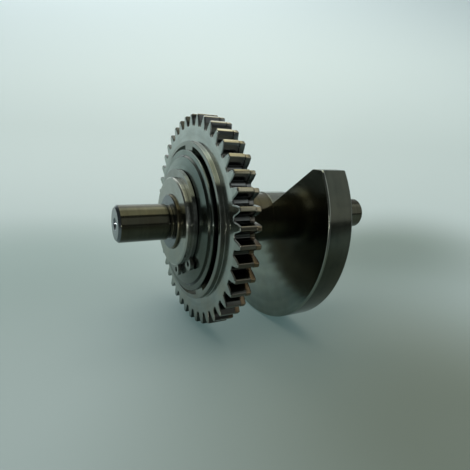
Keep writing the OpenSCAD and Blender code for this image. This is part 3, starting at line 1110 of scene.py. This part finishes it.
@dataclass
class GearWheel:
    """One toothed wheel: a body cut by ring sectors, with teeth set round it by a node tree.

    Sizes in metres, angles in degrees. The body's rings lie between radii, and height_at gives the place
    of the front face on a ring at an angle, or None in a hole. The shoulder is the profile from the
    last ring to the face that the teeth stand on.
    """

    name: str
    sizes: GearSizes
    phase: float
    ends: tuple[float, float]
    chamfers: tuple[float, float]
    radii: list[float]
    cuts: list[float]
    height_at: HeightAt
    shoulder: list[Point]
    edge_round: float = 0.12 * MM
    same_angle: float = 0.02
    seam: float = 0.002 * MM

    def _angles(self) -> list[float]:
        """Return the angles of the body's mesh lines, by rising angle."""
        quarter = self.sizes.sector / 4
        angles = [(self.phase + k * quarter) % 360 for k in range(self.sizes.teeth * 4)]
        for cut in self.cuts:
            if min(apart(cut, angle) for angle in angles) > self.same_angle:
                angles.append(cut % 360)
        return sorted(angles)

    def _body(self) -> bpy.types.Object:
        """Return the wheel's body as a mesh that is open at the circle where the teeth join."""
        mesh = bmesh.new()
        back = self.ends[1]
        angles = self._angles()
        lines = len(angles)
        known: dict[tuple[float, int, float], bmesh.types.BMVert] = {}

        def vert(radius: float, line: int, x: float) -> bmesh.types.BMVert:
            """Find a vertex of the body, or make it at the first call.

            Args:
                radius: Distance from the axis.
                line: Number of the mesh line.
                x: Place along the shaft.

            Returns:
                The vertex.
            """
            key = (round(radius, 8), line % lines, round(x, 8))
            if key not in known:
                known[key] = mesh.verts.new(on_shaft(x, polar(radius, angles[line % lines])))
            return known[key]

        def middle(line: int) -> float:
            """Return the angle half-way between a mesh line and the next."""
            step = (angles[(line + 1) % lines] - angles[line]) % 360
            return (angles[line] + step / 2) % 360

        def wall(first: tuple[float, int], second: tuple[float, int], x1: float, x2: float) -> None:
            """Stand a wall on two spots, where the places that it joins differ."""
            if abs(x1 - x2) > MERGE:
                mesh.faces.new((vert(*first, x1), vert(*second, x1), vert(*second, x2), vert(*first, x2)))

        bands = list(zip(self.radii, self.radii[1:]))
        tops = [[self.height_at((a + b) / 2, middle(k)) for k in range(lines)] for a, b in bands]
        fronts = [[back if top is None else top for top in row] for row in tops]
        for i, (inner, outer) in enumerate(bands):
            for k in range(lines):
                here = fronts[i][k]
                if tops[i][k] is not None:
                    for x in (here, back):
                        mesh.faces.new((vert(inner, k, x), vert(outer, k, x),
                                        vert(outer, k + 1, x), vert(inner, k + 1, x)))
                inside = back if i == 0 else fronts[i - 1][k]
                wall((inner, k), (inner, k + 1), here, inside)
                wall((inner, k + 1), (outer, k + 1), here, fronts[i][(k + 1) % lines])
        for (r1, x1), (r2, x2) in zip(self.shoulder, self.shoulder[1:]):
            for k in range(lines):
                mesh.faces.new((vert(r1, k, x1), vert(r1, k + 1, x1),
                                vert(r2, k + 1, x2), vert(r2, k, x2)))
        self._reach_teeth(mesh, vert, angles)
        made = finish_mesh(mesh, self.name + "_body")
        soften(made, self.edge_round)
        return made

    def _reach_teeth(self, mesh: bmesh.types.BMesh, vert: VertAt, angles: Sequence[float]) -> None:
        """Carry both faces out to the circle where the teeth join.

        Args:
            mesh: Mesh of the body.
            vert: Gives the vertex at a radius, a mesh line and a place.
            angles: Angles of the mesh lines.
        """
        half = self.sizes.sector / 2
        lines = len(angles)
        marks = [min(range(lines), key=lambda k: apart(angles[k], self.phase + m * half))
                 for m in range(self.sizes.teeth * 2)]
        for radius, x in (self.shoulder[-1], (self.radii[-1], self.ends[1])):
            for first, second in zip(marks, marks[1:] + marks[:1]):
                span = (second - first) % lines
                near = [vert(radius, first + k, x) for k in range(span + 1)]
                far = [vert(self.sizes.join_r, second, x), vert(self.sizes.join_r, first, x)]
                mesh.faces.new(near + far)

    def _tooth(self) -> bpy.types.Object:
        """Return one tooth with its share of the rim, open where its neighbours and the body join."""
        mesh = bmesh.new()
        sizes = self.sizes
        outline = sizes.outline()
        turn = Matrix.Rotation(math.radians(sizes.sector), 2)
        before = turn.inverted() @ Vector(outline[-2])
        after = turn @ Vector(outline[1])
        wide = [tuple(before), *outline, tuple(after)]
        rings = []
        for end, chamfer, inward in zip(self.ends, self.chamfers, (1, -1)):
            side = []
            for sunk, along in ((1.0, 0.0), (EASE, EASE), (0.0, 1.0)):
                loop = inset_loop(wide, [sunk * chamfer] * len(wide))[1:-1]
                side.append(add_ring(mesh, end + inward * along * chamfer, loop))
            rings += side[::inward]
        for first, second in zip(rings, rings[1:]):
            for i in range(len(first) - 1):
                mesh.faces.new((first[i], first[i + 1], second[i + 1], second[i]))
        centre = len(outline) // 2
        for ring, x in zip((rings[0], rings[-1]), self.ends):
            angles = (-sizes.sector / 2, 0, sizes.sector / 2)
            join = add_ring(mesh, x, [polar(sizes.join_r, angle) for angle in angles])
            mesh.faces.new(ring[:centre + 1] + [join[1], join[0]])
            mesh.faces.new(ring[centre:] + [join[2], join[1]])
        return finish_mesh(mesh, self.name + "_tooth")

    def _tree(self, tooth: bpy.types.Object, material: bpy.types.Material) -> bpy.types.NodeTree:
        """Write the node tree that sets the teeth round the body.

        Args:
            tooth: One tooth of the wheel.
            material: Material of the finished wheel.

        Returns:
            The geometry node tree.
        """
        tree = bpy.data.node_groups.new(self.name + "_teeth", "GeometryNodeTree")
        face = tree.interface
        face.new_socket("Geometry", in_out="INPUT", socket_type="NodeSocketGeometry")
        count = face.new_socket("Teeth", in_out="INPUT", socket_type="NodeSocketInt")
        count.default_value = self.sizes.teeth
        start_angle = face.new_socket("First tooth", in_out="INPUT", socket_type="NodeSocketFloat")
        start_angle.default_value = math.radians(self.phase)
        face.new_socket("Geometry", in_out="OUTPUT", socket_type="NodeSocketGeometry")
        write = NodeWriter(tree)
        start = write.add("NodeGroupInput")
        points = write.add("GeometryNodePoints", Count=start.outputs["Teeth"])
        index = write.add("GeometryNodeInputIndex").outputs[0]
        pitch = write.math("DIVIDE", math.tau, start.outputs["Teeth"])
        turn = write.math("ADD", write.math("MULTIPLY", index, pitch), start.outputs["First tooth"])
        euler = write.add("ShaderNodeCombineXYZ", X=turn)
        rotation = write.add("FunctionNodeEulerToRotation", Euler=euler.outputs[0])
        shape = write.add("GeometryNodeObjectInfo", Object=tooth)
        placed = write.add("GeometryNodeInstanceOnPoints", Points=points.outputs[0],
                           Instance=shape.outputs["Geometry"], Rotation=rotation.outputs[0])
        real = write.add("GeometryNodeRealizeInstances", Geometry=placed.outputs[0])
        joined = write.add("GeometryNodeJoinGeometry")
        tree.links.new(start.outputs["Geometry"], joined.inputs[0])
        tree.links.new(real.outputs[0], joined.inputs[0])
        merged = write.add("GeometryNodeMergeByDistance", Geometry=joined.outputs[0], Distance=self.seam)
        whole = write.add("GeometryNodeRealizeInstances", Geometry=merged.outputs[0])
        dressed = write.add("GeometryNodeSetMaterial", Geometry=whole.outputs[0], Material=material)
        write.feed(write.add("NodeGroupOutput").inputs[0], dressed.outputs[0])
        return tree

    def build(self, material: bpy.types.Material) -> bpy.types.Object:
        """Build the wheel.

        Args:
            material: Material of the whole wheel.

        Returns:
            The piece, one closed mesh.
        """
        body = self._body()
        tooth = self._tooth()
        body.modifiers.new("teeth", "NODES").node_group = self._tree(tooth, material)
        piece = baked(body, self.name)
        bpy.data.objects.remove(tooth)
        return piece


@dataclass
class SplitGear:
    """The main gear and the sprung sub gear behind it. Sizes in metres, angles in degrees."""

    sizes: GearSizes = field(default_factory=GearSizes)
    boss_r: float = 33.2 * MM
    boss_chamfer: float = 0.3 * MM
    boss_foot: float = 0.25 * MM
    channel_in: float = 27.7 * MM
    channel_out: float = 31.4 * MM
    channel_depth: float = 5.0 * MM
    grease_margin: float = 0.1 * MM
    land_angles: tuple[float, ...] = (92.0, 238.2, 347.6)
    land_span: float = 14.0
    bore_r: float = 18.46 * MM
    spline_r: float = 19.86 * MM
    spline_count: int = 12
    spline_half: float = 7.2
    window_in: float = 21.6 * MM
    window_out: float = 27.0 * MM
    window_start: float = 110.0
    window_span: float = 50.0
    window_count: int = 3
    lug_in: float = 21.84 * MM
    lug_out: float = 26.76 * MM
    lug_start: float = 42.86
    lug_span: float = 7.0
    seat_r: float = 20.25 * MM
    rim_in: float = 32.0 * MM
    side_gap: float = 0.15 * MM
    main_front: float = field(init=False)
    main_back: float = field(init=False)
    lug_front: float = field(init=False)
    sub_front: float = field(init=False)
    sub_back: float = field(init=False)

    def __post_init__(self) -> None:
        """Take the gears' places along the shaft from the frame."""
        low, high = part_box("main_gear")
        self.main_front = low[0]
        self.main_back = high[0]
        low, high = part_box("sub_gear")
        self.lug_front = low[0]
        self.sub_front = self.main_back + self.side_gap
        self.sub_back = high[0]

    @staticmethod
    def _within(angle: float, starts: Sequence[float], span: float) -> bool:
        """Say if an angle lies in one of the sectors that start at angles and have the same span."""
        return any((angle - start) % 360 < span for start in starts)

    def _windows(self) -> list[float]:
        """Return the start angle of each spring window."""
        return [(self.window_start + 360 * k / self.window_count) % 360 for k in range(self.window_count)]

    def _lands(self) -> list[float]:
        """Return the start angle of each land between the arc channels."""
        return [land - self.land_span / 2 for land in self.land_angles]

    def _slots(self) -> list[float]:
        """Return the start angle of each spline slot in the bore."""
        return [360 * k / self.spline_count - self.spline_half for k in range(self.spline_count)]

    def _lugs(self) -> list[float]:
        """Return the start angle of each lug of the sub gear."""
        return [start + self.lug_start for start in self._windows()]

    def _main_height(self, radius: float, angle: float) -> float | None:
        """Find the main gear's front face.

        Args:
            radius: Distance from the axis.
            angle: Angle round the axis.

        Returns:
            Its place along the shaft, or None in a hole.
        """
        if radius < self.spline_r:
            return None if self._within(angle, self._slots(), 2 * self.spline_half) else self.main_front
        if self.window_in < radius < self.window_out:
            return None if self._within(angle, self._windows(), self.window_span) else self.main_front
        if self.channel_in < radius < self.channel_out:
            on_land = self._within(angle, self._lands(), self.land_span)
            return self.main_front if on_land else self.main_front + self.channel_depth
        return self.main_front

    def _sub_height(self, radius: float, angle: float) -> float | None:
        """Find the sub gear's front face.

        Args:
            radius: Distance from the axis.
            angle: Angle round the axis.

        Returns:
            Its place along the shaft.
        """
        on_lug = self._within(angle, self._lugs(), self.lug_span)
        return self.lug_front if on_lug and self.lug_in < radius < self.lug_out else self.sub_front

    def main_gear(self, shelf: FinishShelf) -> bpy.types.Object:
        """Build the main gear with its boss, channels, windows and splined bore.

        Args:
            shelf: Where the materials come from.

        Returns:
            The piece.
        """
        sectors = ((self._windows(), self.window_span), (self._lands(), self.land_span),
                   (self._slots(), 2 * self.spline_half))
        edge = self.boss_r - self.boss_chamfer
        wheel = GearWheel(
            name="main_gear_wheel",
            sizes=self.sizes,
            phase=self.sizes.phase,
            ends=(0.0, self.main_back),
            chamfers=(self.sizes.end_chamfer, self.sizes.split_chamfer),
            radii=[self.bore_r, self.spline_r, self.window_in, self.window_out, self.channel_in,
                   self.channel_out, edge],
            cuts=[start + turn for starts, span in sectors for start in starts for turn in (0.0, span)],
            height_at=self._main_height,
            shoulder=[
                (edge, self.main_front),
                (self.boss_r - EASE * self.boss_chamfer, self.main_front + EASE * self.boss_chamfer),
                (self.boss_r, self.main_front + self.boss_chamfer),
                (self.boss_r, -self.boss_foot),
                (self.boss_r + EASE * self.boss_foot, -EASE * self.boss_foot),
                (self.boss_r + self.boss_foot, 0.0),
            ])
        piece = wheel.build(shelf.take(Finish.GEAR))
        self._grease(piece, shelf.take(Finish.GREASE))
        return piece

    def _grease(self, piece: bpy.types.Object, grease: bpy.types.Material) -> None:
        """Give the walls and the floor of the arc channels their old grease.

        Args:
            piece: The main gear.
            grease: Material of the grease.
        """
        piece.data.materials.append(grease)
        for face in piece.data.polygons:
            radius = math.hypot(face.center.y, face.center.z)
            depth = face.center.x - self.main_front
            in_ring = self.channel_in - self.grease_margin < radius < self.channel_out + self.grease_margin
            if in_ring and 2 * self.grease_margin < depth < self.channel_depth + self.grease_margin:
                face.material_index = 1

    def sub_gear(self, shelf: FinishShelf) -> bpy.types.Object:
        """Build the sub gear with the lugs that its springs push on.

        Args:
            shelf: Where the materials come from.

        Returns:
            The piece.
        """
        wheel = GearWheel(
            name="sub_gear_wheel",
            sizes=self.sizes,
            phase=self.sizes.phase + self.sizes.stagger,
            ends=(self.sub_front, self.sub_back),
            chamfers=(self.sizes.split_chamfer, self.sizes.end_chamfer),
            radii=[self.seat_r, self.lug_in, self.lug_out, self.rim_in],
            cuts=[start + turn for start in self._lugs() for turn in (0.0, self.lug_span)],
            height_at=self._sub_height,
            shoulder=[(self.rim_in, self.sub_front)])
        return wheel.build(shelf.take(Finish.SUB_GEAR))


@dataclass
class ScissorSpring:
    """One coil spring, bent round the shaft axis. Sizes in metres, angles in degrees."""

    index: int
    spacing: float = 120.0
    path_r: float = 24.3 * MM
    path_x: float = 2.15 * MM
    wire_d: float = 0.9 * MM
    coil_d: float = 4.6 * MM
    turns: int = 9
    first_start: float = 111.2
    span: float = 40.46
    steps_per_turn: int = 28
    wire_sides: int = 12

    @property
    def start(self) -> float:
        """Angle of the coil's first turn."""
        return self.first_start + self.spacing * self.index

    def _tree(self, material: bpy.types.Material) -> bpy.types.NodeTree:
        """Write the node tree that winds the wire along its bent path.

        Args:
            material: Material of the wire.

        Returns:
            The geometry node tree.
        """
        tree = bpy.data.node_groups.new("spring_coil", "GeometryNodeTree")
        face = tree.interface
        named = {
            "Path radius": self.path_r,
            "Coil radius": (self.coil_d - self.wire_d) / 2,
            "Wire radius": self.wire_d / 2,
            "Start": math.radians(self.start),
            "Span": math.radians(self.span),
            "Turns": float(self.turns),
            "Place": self.path_x,
        }
        for label, value in named.items():
            face.new_socket(label, in_out="INPUT", socket_type="NodeSocketFloat").default_value = value
        face.new_socket("Geometry", in_out="OUTPUT", socket_type="NodeSocketGeometry")
        write = NodeWriter(tree)
        get = write.add("NodeGroupInput").outputs
        line = write.add("GeometryNodeCurvePrimitiveLine")
        fine = write.add("GeometryNodeResampleCurve", Curve=line.outputs[0],
                         Count=self.turns * self.steps_per_turn + 1)
        along = write.add("GeometryNodeSplineParameter").outputs["Factor"]
        turn = write.math("MULTIPLY", along, write.math("MULTIPLY", get["Turns"], math.tau))
        angle = write.math("ADD", get["Start"], write.math("MULTIPLY", along, get["Span"]))
        reach = write.math("MULTIPLY", get["Coil radius"], write.math("COSINE", turn))
        radius = write.math("ADD", get["Path radius"], reach)
        side = write.math("MULTIPLY", get["Coil radius"], write.math("SINE", turn))
        spot = write.add(
            "ShaderNodeCombineXYZ", X=write.math("ADD", get["Place"], side),
            Y=write.math("MULTIPLY", radius, write.math("COSINE", angle)),
            Z=write.math("MULTIPLY", radius, write.math("SINE", angle)))
        moved = write.add("GeometryNodeSetPosition", Geometry=fine.outputs[0], Position=spot.outputs[0])
        section = write.add("GeometryNodeCurvePrimitiveCircle", Resolution=self.wire_sides)
        write.feed(section.inputs["Radius"], get["Wire radius"])
        tube = write.add("GeometryNodeCurveToMesh", Curve=moved.outputs[0],
                         Profile_Curve=section.outputs[0], Fill_Caps=True)
        whole = write.add("GeometryNodeRealizeInstances", Geometry=tube.outputs[0])
        dressed = write.add("GeometryNodeSetMaterial", Geometry=whole.outputs[0], Material=material)
        write.feed(write.add("NodeGroupOutput").inputs[0], dressed.outputs[0])
        return tree

    def ends(self) -> tuple[Vector, Vector]:
        """Return the middles of the coil's first and last turn."""
        first, last = (polar(self.path_r, angle) for angle in (self.start, self.start + self.span))
        return on_shaft(self.path_x, first), on_shaft(self.path_x, last)

    def build(self, shelf: FinishShelf) -> bpy.types.Object:
        """Build the spring.

        Args:
            shelf: Where the materials come from.

        Returns:
            The piece.
        """
        name = f"coil_spring_{self.index + 1}"
        holder = linked(name + "_path", bpy.data.meshes.new(name + "_path"))
        holder.modifiers.new("coil", "NODES").node_group = self._tree(shelf.take(Finish.WIRE))
        return baked(holder, name)


@dataclass
class SpringPlate:
    """The dished plate under the circlip. Sizes in metres, angles in degrees."""

    bore_r: float = 18.5 * MM
    rim_w: float = 2.2 * MM
    thickness: float = 1.2 * MM
    step: float = 0.7 * MM
    step_angle: float = 45.0
    edge_round: float = 0.25 * MM
    segments: int = 144

    def build(self, shelf: FinishShelf) -> bpy.types.Object:
        """Build the plate as a turned ring.

        Args:
            shelf: Where the materials come from.

        Returns:
            The piece.
        """
        low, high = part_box("spring_plate")
        outer = high[1]
        back = high[0]
        front = back - self.thickness
        rim_in = outer - self.rim_w
        cone_front = low[0]
        cone_back = cone_front + self.thickness
        under = self.thickness * math.tan(math.radians(self.step_angle / 2))
        bore_middle = (self.bore_r, (cone_front + cone_back) / 2)
        outline = [
            bore_middle,
            (self.bore_r, cone_front),
            (rim_in - self.step, front - self.step),
            (rim_in, front),
            (outer, front),
            (outer, back),
            (rim_in - under, back),
            (rim_in - self.step - under, back - self.step),
            (self.bore_r, cone_back),
            bore_middle,
        ]
        mesh = bmesh.new()
        lathe(mesh, rounded(outline, self.edge_round), self.segments)
        made = finish_mesh(mesh, "dished_ring")
        made.data.materials.append(shelf.take(Finish.PLATE))
        return baked(made, "dished_spring_plate")


@dataclass
class SoftenedNode:
    """A solid of the frame with its edges rounded, for pieces whose outline is already whole.

    Sizes in metres, angles in degrees. Behind rear_from along the shaft it has its rear finish, if any.
    """

    node: str
    name: str
    finish: Finish
    rear_finish: Finish | None = None
    rear_from: float = 0.0
    edge_round: float = 0.15 * MM
    flat_within: float = 0.4

    def build(self, shelf: FinishShelf) -> bpy.types.Object:
        """Build the piece from a merged copy of the solid's mesh.

        Args:
            shelf: Where the materials come from.

        Returns:
            The piece.
        """
        mesh = bmesh.new()
        mesh.from_mesh(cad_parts[self.node].data)
        bmesh.ops.remove_doubles(mesh, verts=mesh.verts, dist=MERGE)
        bmesh.ops.dissolve_limit(
            mesh, angle_limit=math.radians(self.flat_within), verts=mesh.verts, edges=mesh.edges)
        made = finish_mesh(mesh, self.name + "_plain")
        made.data.materials.clear()
        made.data.materials.append(shelf.take(self.finish))
        soften(made, self.edge_round)
        piece = baked(made, self.name)
        if self.rear_finish:
            piece.data.materials.append(shelf.take(self.rear_finish))
            for face in piece.data.polygons:
                face.material_index = int(face.center.x > self.rear_from)
        return piece


# Studio


def looking(at: Place, aim: Place, roll: float = 0.0) -> Matrix:
    """Return the matrix of a lamp or camera.

    Args:
        at: Where it stands.
        aim: Where it looks.
        roll: Turn about its own line of sight, in degrees.

    Returns:
        Its place and turn.
    """
    look = Vector(aim) - Vector(at)
    level = look.to_track_quat("-Z", "Y").to_matrix().to_4x4()
    return Matrix.Translation(at) @ level @ Matrix.Rotation(math.radians(roll), 4, "Z")


@dataclass(frozen=True)
class Lamp:
    """One square soft lamp. Lengths in metres, power in watts."""

    name: str
    at: Place
    aim: Place
    size: float
    power: float
    colour: Colour

    def hang(self) -> None:
        """Put the lamp in its place."""
        data = bpy.data.lights.new(self.name, "AREA")
        data.size = self.size
        data.energy = self.power
        data.color = self.colour
        made = bpy.data.objects.new(self.name, data)
        made.matrix_world = looking(self.at, self.aim)
        bpy.context.scene.collection.objects.link(made)


@dataclass(frozen=True)
class Shade:
    """An oval zone of painted shadow on the floor. Lengths in metres, angle in degrees."""

    at: Point
    reach: Point
    turn: float
    tint: Colour
    tall: float = 10.0
    core: float = 0.9

    def over(self, write: NodeWriter, place_at: Socket, colour: Socket) -> Socket:
        """Lay the zone over a floor colour.

        Args:
            write: Writer of the floor's material.
            place_at: The floor's own coordinates.
            colour: The floor's colour without the zone.

        Returns:
            The colour with the zone fading out towards its edge.
        """
        zone = write.add("ShaderNodeMapping", {"vector_type": "TEXTURE"}, Vector=place_at,
                         Location=(*self.at, 0.0), Rotation=(0.0, 0.0, math.radians(self.turn)),
                         Scale=(*self.reach, self.tall))
        middle = write.add("ShaderNodeTexGradient", {"gradient_type": "SPHERICAL"}, Vector=zone.outputs[0])
        return write.mix(write.spread(middle.outputs["Fac"], 0.0, self.core), colour, self.tint, "MULTIPLY")


@dataclass
class Studio:
    """Floor, light and camera. Lengths in metres, angles in degrees, lens and sensor in millimetres."""

    camera_at: Place = (-0.06155, -0.15031, 0.03341)
    aim_at: Place = (0.02234, 0.0, -0.00792)
    roll: float = 3.27
    lens: float = 29.38
    sensor: float = 36.0
    clip_start: float = 0.005
    # floor_near to floor_far: paler towards the back, painted light falloff.
    floor_far: Colour = (0.82, 0.90, 0.95)
    floor_near: Colour = (0.305, 0.340, 0.360)
    pale_zone: Point = (-0.30, 0.90)
    pale_slant: float = 0.35
    floor_glow: Colour = (0.055, 0.10, 0.097)
    floor_rough: float = 0.75
    floor_specular: float = 0.25
    floor_half: float = 3.0
    floor_front: float = 0.7
    # Darker towards the front by faded: painted shade.
    fade: Point = (-0.088, -0.160)
    faded: Colour = (0.55, 0.55, 0.54)
    no_glow: Colour = (0.0, 0.0, 0.0)
    ramp: float = 1.3
    sweep_start: float = 0.22
    sweep_r: float = 0.60
    sweep_rise: float = 32.0
    sweep_steps: int = 24
    sweep_turn: float = -29.2
    # Painted shadows on the floor.
    shades: tuple[Shade, ...] = (
        Shade((0.045, -0.105), (0.17, 0.125), 45.0, (0.34, 0.26, 0.16)),
        Shade((0.200, 0.060), (0.24, 0.12), 22.0, (0.41, 0.40, 0.35)),
        Shade((-0.055, 0.115), (0.17, 0.17), 0.0, (0.76, 0.80, 0.78)),
    )
    surround: Colour = (0.80, 0.86, 0.84)
    surround_level: float = 0.09
    lamps: tuple[Lamp, ...] = (
        Lamp("overhead", (0.05, 0.0, 1.05), (0.05, 0.0, 0.0), 1.2, 3.9, (1.0, 0.95, 0.66)),
        Lamp("ceiling", (0.50, 0.90, 1.10), (0.50, 0.90, 0.0), 3.0, 8.5, (0.97, 1.0, 0.97)),
        Lamp("window", (0.10, 1.20, 1.45), (0.0, 0.20, -0.05), 2.0, 13.0, (0.96, 1.0, 1.0)),
        Lamp("side_panel", (0.83, -0.55, 0.46), (0.0, 0.0, 0.0), 0.9, 1.65, (0.96, 1.0, 0.98)),
        Lamp("front_panel", (0.30, -1.00, 0.47), (0.0, 0.0, 0.0), 0.8, 0.6, (0.96, 1.0, 0.98)),
        Lamp("bulb", (-0.40, -0.28, -0.015), (0.0, 0.0, -0.005), 0.015, 0.35, (1.0, 0.97, 0.90)),
    )

    def camera(self) -> None:
        """Set the camera at the photograph's viewpoint."""
        data = bpy.data.cameras.new("viewpoint")
        data.lens = self.lens
        data.sensor_width = self.sensor
        data.clip_start = self.clip_start
        made = bpy.data.objects.new("viewpoint", data)
        made.matrix_world = looking(self.camera_at, self.aim_at, self.roll)
        bpy.context.scene.collection.objects.link(made)
        bpy.context.scene.camera = made

    def floor(self, height: float) -> None:
        """Lay a pale floor that sweeps up behind the part.

        Args:
            height: Height of the floor.
        """
        centre = (self.sweep_start, height + self.sweep_r)
        sweep = arc(centre, self.sweep_r, 270, 270 + self.sweep_rise, self.sweep_steps)
        rise_y, rise_z = polar(self.ramp, self.sweep_rise)
        top = (sweep[-1][0] + rise_y, sweep[-1][1] + rise_z)
        line = [(-self.floor_front, height), *sweep, top]
        mesh = bmesh.new()
        rows = [add_ring(mesh, x, line) for x in (-self.floor_half, self.floor_half)]
        for i in range(len(line) - 1):
            mesh.faces.new((rows[0][i], rows[1][i], rows[1][i + 1], rows[0][i + 1]))
        bmesh.ops.rotate(mesh, verts=mesh.verts, cent=(0, 0, 0),
                         matrix=Matrix.Rotation(math.radians(self.sweep_turn), 3, "Z"))
        made = finish_mesh(mesh, "pale_floor")
        made.data.shade_smooth()
        made.data.materials.append(self._floor_material())
        made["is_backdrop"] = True

    def _floor_material(self) -> bpy.types.Material:
        """Return the floor's pale finish, with painted light falloff from back to front, painted shadow
        zones, painted shade towards the front and a glow that only the view sees.
        """
        material = bpy.data.materials.new("pale_floor")
        material.use_nodes = True
        write = NodeWriter(material.node_tree)
        place_at = write.add("ShaderNodeTexCoord").outputs["Object"]
        parts = write.add("ShaderNodeSeparateXYZ", n0=place_at)
        sideways = write.math("MULTIPLY", parts.outputs["X"], self.pale_slant)
        away = write.math("ADD", parts.outputs["Y"], sideways)
        # Paler towards the back: painted light falloff.
        pale = write.mix(write.spread(away, *self.pale_zone), self.floor_near, self.floor_far)
        # Painted shadows.
        for shade in self.shades:
            pale = shade.over(write, place_at, pale)
        # Darker towards the front: painted shade; the glow fades out there too.
        across = write.add("ShaderNodeMapping", Vector=place_at,
                           Rotation=(0.0, 0.0, math.radians(-self.sweep_turn)))
        depth = write.add("ShaderNodeSeparateXYZ", n0=across.outputs[0]).outputs["Y"]
        front = write.spread(depth, *self.fade)
        rays = write.add("ShaderNodeLightPath").outputs
        seen = write.math("MAXIMUM", rays["Is Camera Ray"], rays["Is Glossy Ray"])
        surface = {
            "Base Color": write.mix(front, pale, self.faded, "MULTIPLY"),
            "Roughness": self.floor_rough,
            "Specular IOR Level": self.floor_specular,
            "Emission Color": write.mix(front, self.floor_glow, self.no_glow),
            "Emission Strength": write.math("MAXIMUM", seen, rays["Is Transmission Ray"]),
        }
        shader = material.node_tree.nodes["Principled BSDF"]
        for label, value in surface.items():
            write.feed(shader.inputs[label], value)
        return material

    def light(self) -> None:
        """Hang the soft lamps and set the dim surround."""
        for lamp in self.lamps:
            lamp.hang()
        world = bpy.data.worlds.new("surround")
        world.use_nodes = True
        background = world.node_tree.nodes["Background"]
        background.inputs["Color"].default_value = (*self.surround, 1.0)
        background.inputs["Strength"].default_value = self.surround_level
        bpy.context.scene.world = world


def main() -> None:
    """Build the pieces in order, set them on their bodies and light the scene."""
    logging.basicConfig(level=logging.INFO, format="%(name)s: %(message)s")
    solid_box = [list(corner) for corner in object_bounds()]
    scene = bpy.context.scene
    scene.view_settings.view_transform = "Standard"
    studio = Studio()
    studio.camera()
    shelf = FinishShelf()

    place(BalanceShaft().build(shelf), Body.SHAFT, "balance_shaft")
    gear = SplitGear()
    place(gear.main_gear(shelf), Body.SHAFT, "main_gear")
    place(gear.sub_gear(shelf), Body.SPRUNG_GEAR, "sub_gear")
    for index in range(gear.window_count):
        spring = ScissorSpring(index)
        place_between(spring.build(shelf), spring.ends(), f"scissor_spring_{index + 1}")
    place(SpringPlate().build(shelf), Body.SHAFT, "spring_plate")
    # The hub's rear behind the main gear takes the darker copy of its steel: painted shade.
    hub = SoftenedNode("gear_hub", "pressed_gear_hub", Finish.HUB, Finish.SHADED_HUB, gear.main_back)
    place(hub.build(shelf), Body.SHAFT, "gear_hub")
    clip = SoftenedNode("circlip", "hub_circlip", Finish.CLIP)
    place(clip.build(shelf), Body.SHAFT, "circlip")

    studio.floor(solid_box[0][2])
    studio.light()


if __name__ == "__main__":
    main()
